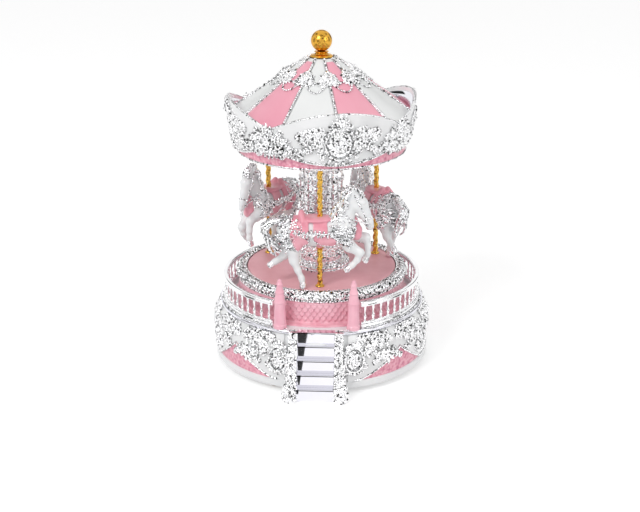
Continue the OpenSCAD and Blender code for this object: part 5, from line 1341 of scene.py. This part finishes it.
for side in (-1, 1):
    for outline, lift in BORDERS:
        tack += [bead(on_flank(x, z, lift, side), 0.42) for x, z in along(outline, 0.95)]
    for x, z, r in FLANK_ROSES:
        tack += on_horse(rose((0, 0), r, 0.2, 6, 1.1), x, z, side)
        for k in range(5):
            turn = 2 * math.pi * (k + rng.random()) / 5
            spot = (0.7 * r * math.cos(turn), 0.7 * r * math.sin(turn))
            frond = leaf(spot, 2.4 + 1.4 * rng.random(), 1.5, turn - math.pi / 2, 0.7, 0.15)
            tack += on_horse([frond], x, z, side)
    for x, z in along(BLANKET_LINE, 2.1):
        tack += on_horse(rose((0, 0), 1.15, 0.75, 5, 0.9), x, z, side)
        pair = [leaf((0, 0), 2.3, 1.3, 2.4 + 1.4 * rng.random(), 0.6, 0.7)]
        pair.append(leaf((0, 0), 2.2, 1.2, -0.7 * rng.random(), 0.6, 0.7))
        tack += on_horse(pair, x, z, side)
    for x, z in np.concatenate([along(BAND_LOW, 1.0), along(BAND_HIGH, 1.0)]):
        tack.append(bead(on_flank(x, z, 0.35, side), 0.5))
    for x in np.arange(7.0, 16, 0.9):
        z = np.interp(x, [6, 10, 14.6, 17.8], [31.4, 27.8, 26.6, 28.4])
        a, b = on_flank(x, z - 0.2, 0.4, side), on_flank(x + 0.2, z - 2.2, 0.35, side)
        tack.append(tube([a, b], [0.34, 0.5], 6))

# The bridle's straps: noseband, browband, and on each side the cheek strap and the rein to the saddle.
bridle = [[(24.6, -1.9, 37.2), (26.3, -0.9, 38.2), (26.3, 0.9, 38.2), (24.6, 1.9, 37.2), (22.6, 1.9, 36.4),
    (22.0, 0, 36.1), (22.6, -1.9, 36.4), (24.6, -1.9, 37.2)],
    [(17.6, -3.0, 47.6), (20.8, -2.6, 48.9), (22.6, 0, 49.4), (20.8, 2.6, 48.9), (17.6, 3.0, 47.6)]]
for y in (-1, 1):
    bridle += [[(17.2, y * 2.4, 50.4), (19.8, y * 3.05, 45.6), (22.2, y * 2.4, 41.0), (23.9, y * 1.95, 36.8)],
        [(24.3, y * 2.0, 34.6), (18, y * 3.9, 37.4), (12, y * 4.9, 37.2), (6.6, y * 2.2, 38.2)]]
for line in bridle:
    tack.append(tube(along(line, 0.5), 0.34, 6))
    tack += [bead(p, 0.48) for p in along(line, 1.5)]

# Bosses on the bridle and the rings of the bit on each side, and the plume between the ears.
for side in (-1, 1):
    tack += [bead((20.2, side * 3.2, 45.2), 0.8), bead((24.0, side * 2.1, 36.9), 0.75)]
    ring = [(24.4 + 0.9 * math.cos(t), side * 2.1, 34.2 + 0.9 * math.sin(t))
        for t in np.linspace(0, 2 * math.pi, 15)]
    tack.append(tube(ring, 0.26, 6))
plume = [leaf((0, 0), 4.6, 1.8, 0.5 * i, 0.8, 0.2) for i in (-2, -1, 0, 1, 2)]
points, faces = together(plume)
u, v, w = points.T
for side in (-1, 1):
    spot = np.column_stack([16.2 - v * 0.25 + u * 0.9, side * (0.5 + w * 0.9), 51.4 + v * 0.78])
    tack.append((spot, faces if side < 0 else [tuple(reversed(f)) for f in faces]))
tack_points, tack_faces = together(tack)

# The bib hangs from the neck over the chest.
BIB_LOW, BIB_HIGH = (12, -6, 24), (24, 6, 40)
bib = Clay(BIB_LOW, BIB_HIGH, SADDLE_STEP)
bib.join(bib.cone([17.6, 0, 36.8, 1.4], [19.2, 0, 31, 2.4], 1.2), 0.5)
bib.join(bib.cone([19.2, 0, 31, 2.4], [18.6, 0, 28.4, 2.9], 1.2), 0.6)
bib_body = Clay(BIB_LOW, BIB_HIGH, SADDLE_STEP)
press_body(bib_body, with_head=False)
bib.keep(0.1 - bib_body.depth)
pink_points, pink_faces = together([(seat_points, seat_faces), bib.surface()])
for which in HORSES:
    pink = mesh_object(f"saddle_{which}_moulding", at_pole(pink_points, which), pink_faces, saddle_pink)
    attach(pink, "carousel")
    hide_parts(f"saddle_{which}")
    harness = mesh_object(f"harness_{which}", at_pole(tack_points, which), tack_faces, hair_plating)
    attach(harness, "carousel")
    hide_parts(f"saddle_{which}")

# Canopy band: a pink moulded ring at the foot of the canopy, with a pebbled face. A plated rope is glued
# round its lower edge, and a white disc pressed into it closes it from below.
CANOPY_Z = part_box("canopy_band")[0].z / MM
CANOPY_R = 43.9
CANOPY_LEAN = 0.14
CANOPY_DEG = 14.0
LOBES = 4
LOBE_DEG = 360 / LOBES


def skirt_r(z):
    """Radius of the canopy's leaning wall at a height."""
    return CANOPY_R + CANOPY_LEAN * (np.asarray(z, float) - CANOPY_Z)


def strings_of(name, paths):
    """A curve object of straight-sided lines through points in millimetres."""
    data = bpy.data.curves.new(name, "CURVE")
    data.dimensions = "3D"
    for path in paths:
        line = data.splines.new("POLY")
        line.points.add(len(path) - 1)
        for point, spot in zip(line.points, path):
            point.co = (spot[0] * MM, spot[1] * MM, spot[2] * MM, 1)
    made = bpy.data.objects.new(name, data)
    bpy.context.scene.collection.objects.link(made)
    return made


def bead_tree():
    """Threads round beads along each line of a curve."""
    tree, given, result = new_tree("beads_on_a_string",
        [("Bead Radius", "Float"), ("Spacing", "Float"), ("Material", "Material")])
    link = tree.links.new
    spots = node_in(tree, "GeometryNodeCurveToPoints", mode="LENGTH")
    link(given.outputs["Geometry"], spots.inputs[0])
    link(given.outputs["Spacing"], spots.inputs["Length"])
    bead = node_in(tree, "GeometryNodeMeshUVSphere", Segments=8, Rings=5)
    link(given.outputs["Bead Radius"], bead.inputs["Radius"])
    smooth = tree.nodes.new("GeometryNodeSetShadeSmooth")
    link(bead.outputs[0], smooth.inputs[0])
    copies = tree.nodes.new("GeometryNodeInstanceOnPoints")
    link(spots.outputs[0], copies.inputs["Points"])
    link(smooth.outputs[0], copies.inputs["Instance"])
    hand_out(tree, copies, given, result)
    return tree


beads_on_a_string = bead_tree()


def beaded(name, paths, radius, spacing, material):
    """A piece made of beads along the given lines, in millimetres."""
    return made_by(beads_on_a_string, strings_of(name, paths),
        {"Bead Radius": radius * MM, "Spacing": spacing * MM, "Material": material})


bead_chrome = filigree_painted_shade("bead_chrome", CHROME, 0.05, 0.9, 0.1, 0.42)
dress("canopy_band", pebble_pink)
dress("ceiling_disc", white_plastic)


def level_line(r, z, angles):
    """Points at one radius and height, at the given angles."""
    return [(r * math.cos(a), r * math.sin(a), z) for a in angles]


# The string of beads on the deck's edge is made here too, with the same helper; it stops at the stairs.
BEADED_DECK_R = 53.95
deck_line = level_line(BEADED_DECK_R, DECK_Z + 0.25, np.radians(np.linspace(-78, 258, 300)))
deck_beads = beaded("deck_beads", [deck_line], 0.42, 1.05, bead_chrome)
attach(deck_beads, "base")
rim_line = level_line(CANOPY_R + 0.2, CANOPY_Z + 0.55, np.linspace(0, 2 * math.pi, 460))
rim_rope = mesh_object("canopy_rim_rope", *tube(rim_line, 0.55, 8, 2, 1.6), rope_chrome)
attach(rim_rope, "carousel")

# Skirt: one moulding with four pearl-white lobes shaped like lenses, which lean out round the canopy. Each
# is edged with a plated rope, is mirror-bright behind, and carries a crowned cartouche between sprays.
SKIRT_T = 1.3
LOBE_TOP_H = 29.2
LOBE_FOOT_H = 2.6
VALLEY_H = 19.6
VALLEY_FOOT_H = 9.6
EAVE_Z = CANOPY_Z + 20.4
lobe_half = float(skirt_r(CANOPY_Z + VALLEY_H)) * math.sin(math.pi / LOBES)
top_arc = (lobe_half ** 2 + (LOBE_TOP_H - VALLEY_H) ** 2) / (2 * (LOBE_TOP_H - VALLEY_H))
foot_arc = (lobe_half ** 2 + (VALLEY_FOOT_H - LOBE_FOOT_H) ** 2) / (2 * (VALLEY_FOOT_H - LOBE_FOOT_H))


def lobe_top(y):
    """Height of a lobe's upper edge at a distance across it."""
    return CANOPY_Z + LOBE_TOP_H - top_arc + np.sqrt(top_arc ** 2 - np.asarray(y) ** 2)


def lobe_foot(y):
    """Height of a lobe's lower edge at a distance across it."""
    return CANOPY_Z + LOBE_FOOT_H + foot_arc - np.sqrt(foot_arc ** 2 - np.asarray(y) ** 2)


def on_lobe(y, z, out, deg):
    """Points on a lobe's wall, from distances across it and heights."""
    r = skirt_r(z) + out
    turn = np.arcsin(np.clip(y / r, -1, 1)) + math.radians(deg - 90)
    return np.column_stack([r * np.cos(turn), r * np.sin(turn), z])


def sheet_faces(columns, rows):
    """Faces of a closed sheet whose outer points, column by column, come before its inner ones."""
    n = columns * rows
    faces = []
    for c in range(columns - 1):
        for k in range(rows - 1):
            a = c * rows + k
            faces += [(a, a + rows, a + rows + 1, a + 1), (n + a + 1, n + a + rows + 1, n + a + rows, n + a)]
        a, b = c * rows, c * rows + rows - 1
        faces += [(n + a, n + a + rows, a + rows, a), (b, b + rows, n + b + rows, n + b)]
    for k in range(rows - 1):
        a, b = k, (columns - 1) * rows + k
        faces += [(a, a + 1, n + a + 1, n + a), (n + b, n + b + 1, b + 1, b)]
    return faces


def lobe_sheet(low_of, high_of, outer, inner, reach, deg, columns=56, rows=8, swell=0.0):
    """A sheet on a lobe between two edges, at two distances from the wall; swell rounds its inner face."""
    points = []
    for out, belly in ((outer, 0.0), (inner, swell)):
        for y in np.linspace(-reach, reach, columns):
            z = np.linspace(float(low_of(y)), float(high_of(y)), rows)
            bulge = belly * np.sin(np.pi * np.linspace(0, 1, rows)) * (1 - (y / reach) ** 2)
            points += on_lobe(np.full(rows, y), z, out - bulge, deg).tolist()
    return points, sheet_faces(columns, rows)


def crisp(piece, split_deg):
    """Keeps the edges sharper than an angle crisp on a smooth piece."""
    edge = piece.modifiers.new("crisp_edges", "EDGE_SPLIT")
    edge.split_angle = math.radians(split_deg)


LIP_H = 1.9
MIRROR_SWELL = 1.6
mirror_rise = EAVE_Z + 0.6 + LIP_H - CANOPY_Z - LOBE_TOP_H + top_arc
mirror_half = math.sqrt(top_arc ** 2 - mirror_rise ** 2)
across = np.linspace(-lobe_half, lobe_half, 190)
ropes, foot_beads, liners, panels = [], [], [], []
for i in range(LOBES):
    deg = CANOPY_DEG + LOBE_DEG * i
    ropes.append(tube(on_lobe(across, lobe_top(across) + 0.1, SKIRT_T / 2, deg), 0.55, 8, 2, 1.7))
    ropes.append(tube(on_lobe(across, lobe_foot(across) + 0.2, SKIRT_T + 0.1, deg), 0.45, 8, 2, 1.5))
    foot_beads.append(on_lobe(across, lobe_foot(across) + 1.15, SKIRT_T + 0.12, deg))
    panels.append(lobe_sheet(lobe_foot, lobe_top, SKIRT_T, 0.05, lobe_half, deg))
    liners.append(lobe_sheet(lambda y: EAVE_Z + 0.05, lambda y: lobe_top(y) - LIP_H, 0.02, -0.22, mirror_half,
        deg, 44, 12, MIRROR_SWELL))
lobe_panels = mesh_object("lobe_panels", *together(panels), pearl)
crisp(lobe_panels, 50)
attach(lobe_panels, "carousel")
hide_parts("canopy_skirt")
lobe_ropes = mesh_object("lobe_rope_edges", *together(ropes), rope_chrome)
lobe_beads = beaded("lobe_foot_beads", foot_beads, 0.42, 1.0, bead_chrome)
lobe_mirrors = mesh_object("lobe_mirror_backs", *together(liners), mirror_chrome)
for piece in (lobe_ropes, lobe_beads, lobe_mirrors):
    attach(piece, "carousel")


def lobe_wall(z):
    """Radius of a lobe's outer face at a height."""
    return skirt_r(z) + SKIRT_T


def fan(at, count, length, width, spread, turn=0.0, lift=0.3):
    """Leaves that open like a fan, the longest in the middle."""
    out = []
    for i in range(count):
        share = i / (count - 1)
        reach = length * (1 - 0.32 * abs(2 * share - 1))
        out.append(leaf(at, reach, width, turn + spread * (0.5 - share), 0.9, lift))
    return out


CARTOUCHE_H = 14.0
SPRAY_U = 7.2
CARTOUCHE_SPRAYS = ((1.6, 1.25, -2.6, 14.5), (-2.2, 1.05, 1.8, 12.0), (5.0, 1.0, -0.6, 9.0))
rng = np.random.default_rng(7)
ornaments = []
for i in range(LOBES):
    flat = oval_plaque(7.2, 8.2)
    flat += fan((0, 7.4), 7, 8.6, 2.6, 2.0) + fan((0, 7.0), 4, 6.0, 2.2, 1.3, 0, 1.0)
    flat += roses(((0, 9.4), 2.3, 1.2, 5, 1.5), ((-3.6, 9.8), 1.7, 0.8, 5, 1.2),
        ((3.6, 9.8), 1.7, 0.8, 5, 1.2))
    for k in range(16):
        t = 2 * math.pi * k / 16
        flat += rose((7.8 * math.cos(t), 8.8 * math.sin(t)), 1.2, 0.5, 5, 1.1)
        spot = (8.2 * math.cos(t + 0.2), 9.2 * math.sin(t + 0.2))
        flat.append(leaf(spot, 2.8, 1.6, t + 0.2 - math.pi / 2, 0.9, 0.2))
    for way in (-1, 1):
        half = []
        for v, size, droop, length in CARTOUCHE_SPRAYS:
            half += moved(spray(length, rng, size, droop), SPRAY_U, v)
        half += scroll((9.6, -3.6), 2.0, 1.4, math.pi / 2, -1) + scroll((12.6, 7.0), 1.8, 1.3, 0, 1)
        half += scroll((8.4, -7.0), 1.6, 1.3, math.pi, -1) + fan((8.2, 5.2), 5, 5.2, 1.9, 1.8, -0.9)
        half += fan((16.0, 1.8), 5, 5.0, 1.9, 1.9, -1.9) + rose((14.8, 3.4), 2.1, 0.7, 6, 1.4)
        half += rose((11.2, 1.0), 2.0, 0.7, 6, 1.4) + rose((18.6, 3.0), 1.6, 0.5, 5, 1.2)
        half += fan((18.6, 3.4), 4, 4.4, 1.8, 1.6, -1.4)
        flat += half if way > 0 else mirrored(half)
    ornaments += wrap(flat, CANOPY_DEG + LOBE_DEG * i, CANOPY_Z + CARTOUCHE_H, lobe_wall)
lobe_cartouches = mesh_object("crowned_cartouches", *together(ornaments), ornament_chrome)
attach(lobe_cartouches, "carousel")
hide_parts("skirt_cartouches")

# Valley clusters: four plated castings of roses among leaves, sprays and scrolls, glued over the places
# where two lobes meet, so that they hide the joint from top to bottom.
VALLEY_MID_H = 13.0
ornaments = []
for i in range(LOBES):
    flat = [dome((0, 0), (3.6, 5.2, 1.0))]
    flat += roses(((0, 0.6), 3.4, 0.9, 7, 1.7), ((0, 5.2), 2.2, 0.8, 6, 1.4), ((0, -4.4), 2.2, 0.8, 6, 1.4))
    flat += fan((0, 3.4), 7, 7.0, 2.3, 2.3) + fan((0, -2.4), 7, 6.4, 2.2, 2.4, math.pi)
    for way in (-1, 1):
        half = roses(((4.8, 2.6), 2.5, 0.7, 6, 1.4), ((4.4, -3.0), 2.3, 0.7, 6, 1.3),
            ((8.8, 0.4), 2.1, 0.5, 5, 1.2), ((8.4, -4.2), 1.8, 0.5, 5, 1.1), ((12.0, -2.2), 1.6, 0.4, 5, 1.0))
        half += fan((4.2, 1.6), 6, 6.2, 2.1, 1.9, -1.2) + fan((4.0, -2.4), 6, 6.2, 2.1, 1.8, -2.0)
        half += fan((8.6, 1.0), 5, 4.6, 1.8, 1.9, -1.3)
        half += scroll((7.0, -6.2), 1.9, 1.4, 0, -1) + scroll((7.2, 5.4), 1.9, 1.4, 0, 1)
        half += moved(spray(9.0, rng, 0.95, 1.6), 9.0, -3.4)
        for k in range(6):
            turn = math.pi + 0.5 * math.sin(2.3 * k)
            half.append(leaf((2.2 + 1.7 * k, -5.4 + 0.3 * k), 2.8, 1.6, turn, 0.8, 0.3))
        flat += half if way > 0 else mirrored(half)
    ornaments += wrap(flat, CANOPY_DEG + LOBE_DEG * (i + 0.5), CANOPY_Z + VALLEY_MID_H, lobe_wall)
valley_clusters = mesh_object("valley_clusters", *together(ornaments), ornament_chrome)
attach(valley_clusters, "carousel")
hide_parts("valley_shells")

# Roof: a moulded low cone with ten satin panels on it, pink and white by turns. Plated beaded ribs are
# glued over the joints, a flower cluster sits on each rib, and two strings of beads hang between clusters.
ROOF_TOP_R = 6.6
ROOF_SLOPE = 0.6915
ROOF_PANELS = 10
PANEL_DEG = 360 / ROOF_PANELS
PANEL_T = 0.4
CLUSTER_R = 18.6
roof_top_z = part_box("canopy_roof")[1].z / MM
eave_r = (roof_top_z - EAVE_Z) / ROOF_SLOPE + ROOF_TOP_R
slope = math.atan(ROOF_SLOPE)


def roof_at(r, deg, out=0.0):
    """A point on the roof at a radius and direction, moved out square to its face."""
    turn = math.radians(deg - 90)
    away = r + out * math.sin(slope)
    z = roof_top_z - ROOF_SLOPE * (r - ROOF_TOP_R) + out * math.cos(slope)
    return (away * math.cos(turn), away * math.sin(turn), z)


def on_roof(parts, deg, away):
    """Lays flat relief (u across, v up the slope, w out) on the roof at a direction and radius."""
    out = []
    for points, faces in parts:
        u, v, w = np.asarray(points, float).T
        r = away - v * math.cos(slope) + w * math.sin(slope)
        z = roof_top_z - ROOF_SLOPE * (away - ROOF_TOP_R) + v * math.sin(slope) + w * math.cos(slope)
        turn = math.radians(deg - 90) + u / away
        out.append((np.column_stack([r * np.cos(turn), r * np.sin(turn), z]), faces))
    return out


roof_white = painted("satin_white", (0.79, 0.80, 0.795), (0.85, 0.86, 0.855), 0.36, 0.12, 0.02, 0.25)
roof_pink = painted("satin_pink", (0.82, 0.32, 0.42), (0.90, 0.41, 0.50), 0.36, 0.12, 0.02, 0.25)
dress("canopy_roof", roof_white)
RIB_GAP_W = 1.9


def roof_panel(deg):
    """One roof panel between two ribs: a thin curved plate with square edges."""
    columns, rows = 13, 5
    points = []
    for out in (PANEL_T, 0.04):
        for c in range(columns):
            for k in range(rows):
                r = ROOF_TOP_R + 2 + (eave_r - 0.4 - ROOF_TOP_R - 2) * k / (rows - 1)
                edge_deg = math.degrees(RIB_GAP_W / 2 / r)
                at_deg = deg + edge_deg + (PANEL_DEG - 2 * edge_deg) * c / (columns - 1)
                points.append(roof_at(r, at_deg, out))
    return points, [tuple(reversed(f)) for f in sheet_faces(columns, rows)]


PANEL_SETS = (("pink", 0, roof_pink, "roof_pink"), ("white", 1, roof_white, "roof_white"))
for label, first, finish, slot in PANEL_SETS:
    plates = [roof_panel(CANOPY_DEG + PANEL_DEG * i) for i in range(first, ROOF_PANELS, 2)]
    panel = mesh_object(f"{label}_roof_panels", *together(plates), finish)
    crisp(panel, 40)
    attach(panel, "carousel")
    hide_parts("roof_panels")
rib_lines, fillets, swags, ornaments = [], [], [], []
for i in range(ROOF_PANELS):
    deg = CANOPY_DEG + PANEL_DEG * i
    rib_lines.append([roof_at(r, deg, 0.75) for r in (ROOF_TOP_R + 0.5, eave_r - 0.9)])
    rib_rs = np.linspace(ROOF_TOP_R + 0.5, eave_r - 0.8, 12)
    fillets.append(tube([roof_at(r, deg, 0.25) for r in rib_rs], 0.46, 7))
    for sag in (1.6, 7.0):
        line = []
        for t in np.linspace(0, 1, 25):
            dip = sag * (1 - (2 * t - 1) ** 2)
            line.append(roof_at(CLUSTER_R + 0.8 + dip, deg + PANEL_DEG * (0.06 + 0.88 * t), 0.85))
        swags.append(line)
    flat = roses(((0, 0), 2.8, 1.0, 6, 1.8), ((-2.5, -2.6), 1.9, 0.7, 5, 1.4),
        ((2.5, -2.6), 1.9, 0.7, 5, 1.4), ((0, 4.0), 1.9, 0.7, 5, 1.3), ((-3.2, 1.8), 1.5, 0.6, 5, 1.2),
        ((3.2, 1.8), 1.5, 0.6, 5, 1.2))
    flat += fan((0, 0.8), 6, 5.4, 2.0, 2.2, 0, 0.6)
    flat += fan((-1.0, -1.4), 6, 5.2, 1.9, 1.9, 2.4, 0.6) + fan((1.0, -1.4), 6, 5.2, 1.9, 1.9, -2.4, 0.6)
    flat += scroll((-3.2, -0.4), 1.5, 1.3, 0, 1, 0.5, 0.6)
    flat += scroll((3.2, -0.4), 1.5, 1.3, math.pi, -1, 0.5, 0.6)
    ornaments += on_roof(flat, deg, CLUSTER_R)
rib_beads = beaded("rib_beads", rib_lines, 0.7, 1.5, bead_chrome)
rib_fillets = mesh_object("rib_fillets", *together(fillets), rope_chrome)
roof_swags = beaded("bead_swags", swags, 0.6, 1.35, bead_chrome)
roof_clusters = mesh_object("roof_flower_clusters", *together(ornaments), ornament_chrome)
for piece in (rib_beads, rib_fillets, roof_swags, roof_clusters):
    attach(piece, "carousel")
    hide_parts("roof_trim")

# Finial: a gold-plated ball on a turned flange of the same plate, screwed onto the middle rod over a thin
# black washer, which holds the canopy and the column together.
ball_gold = plated("ball_gold", (0.78, 0.42, 0.06), 0.24, 0.5, 0.02)
dress("finial_ball", ball_gold)
dress("finial_flange", ball_gold)
washer_black = painted("washer_black", (0.015, 0.014, 0.014), (0.03, 0.028, 0.028), 0.5, 1.2, 0.03)
washer_outline = [(r, roof_top_z + z) for r, z in ((5.4, 0.02), (6.3, 0.02), (6.3, 0.42), (5.4, 0.42))]
washer = mesh_object("finial_washer", *lathe(washer_outline, 64), washer_black, smooth=False)
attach(washer, "carousel")

# Movement: a wound spring in a brass barrel turns the hub, and a pinned brass cylinder plucks a steel comb.
# A governor with a worm and a fly holds the speed. Screws hold the bedplate and the cover.
brass = plated("movement_brass", (0.72, 0.50, 0.20), 0.22, 0.6, 0.02, (1, 1, 4))
nickel = plated("bedplate_nickel", (0.62, 0.61, 0.58), 0.3, 0.8, 0.03, (4, 1, 1))
steel = plated("bright_steel", (0.60, 0.61, 0.63), 0.18, 1.0, 0.02, (1, 6, 1))
blue_steel = plated("spring_steel", (0.10, 0.14, 0.24), 0.25, 1.2, 0.02, (1, 1, 5))
screw_zinc = plated("screw_zinc", (0.70, 0.70, 0.72), 0.3, 2.0, 0.03)
METALS = ((brass, ("spring_barrel", "barrel_lid", "pin_cylinder", "cylinder_wheels", "governor_wheel",
        "governor_bracket", "winding_key")),
    (nickel, ("movement_plate", "cylinder_bracket")),
    (steel, ("comb", "winding_arbor", "output_shaft", "governor_fly", "centre_rod", "pole_rods")),
    (blue_steel, ("mainspring",)),
    (screw_zinc, ("cover_screws", "comb_screws", "movement_screws", "rod_nuts")))
for material, nodes in METALS:
    for node in nodes:
        dress(node, material)
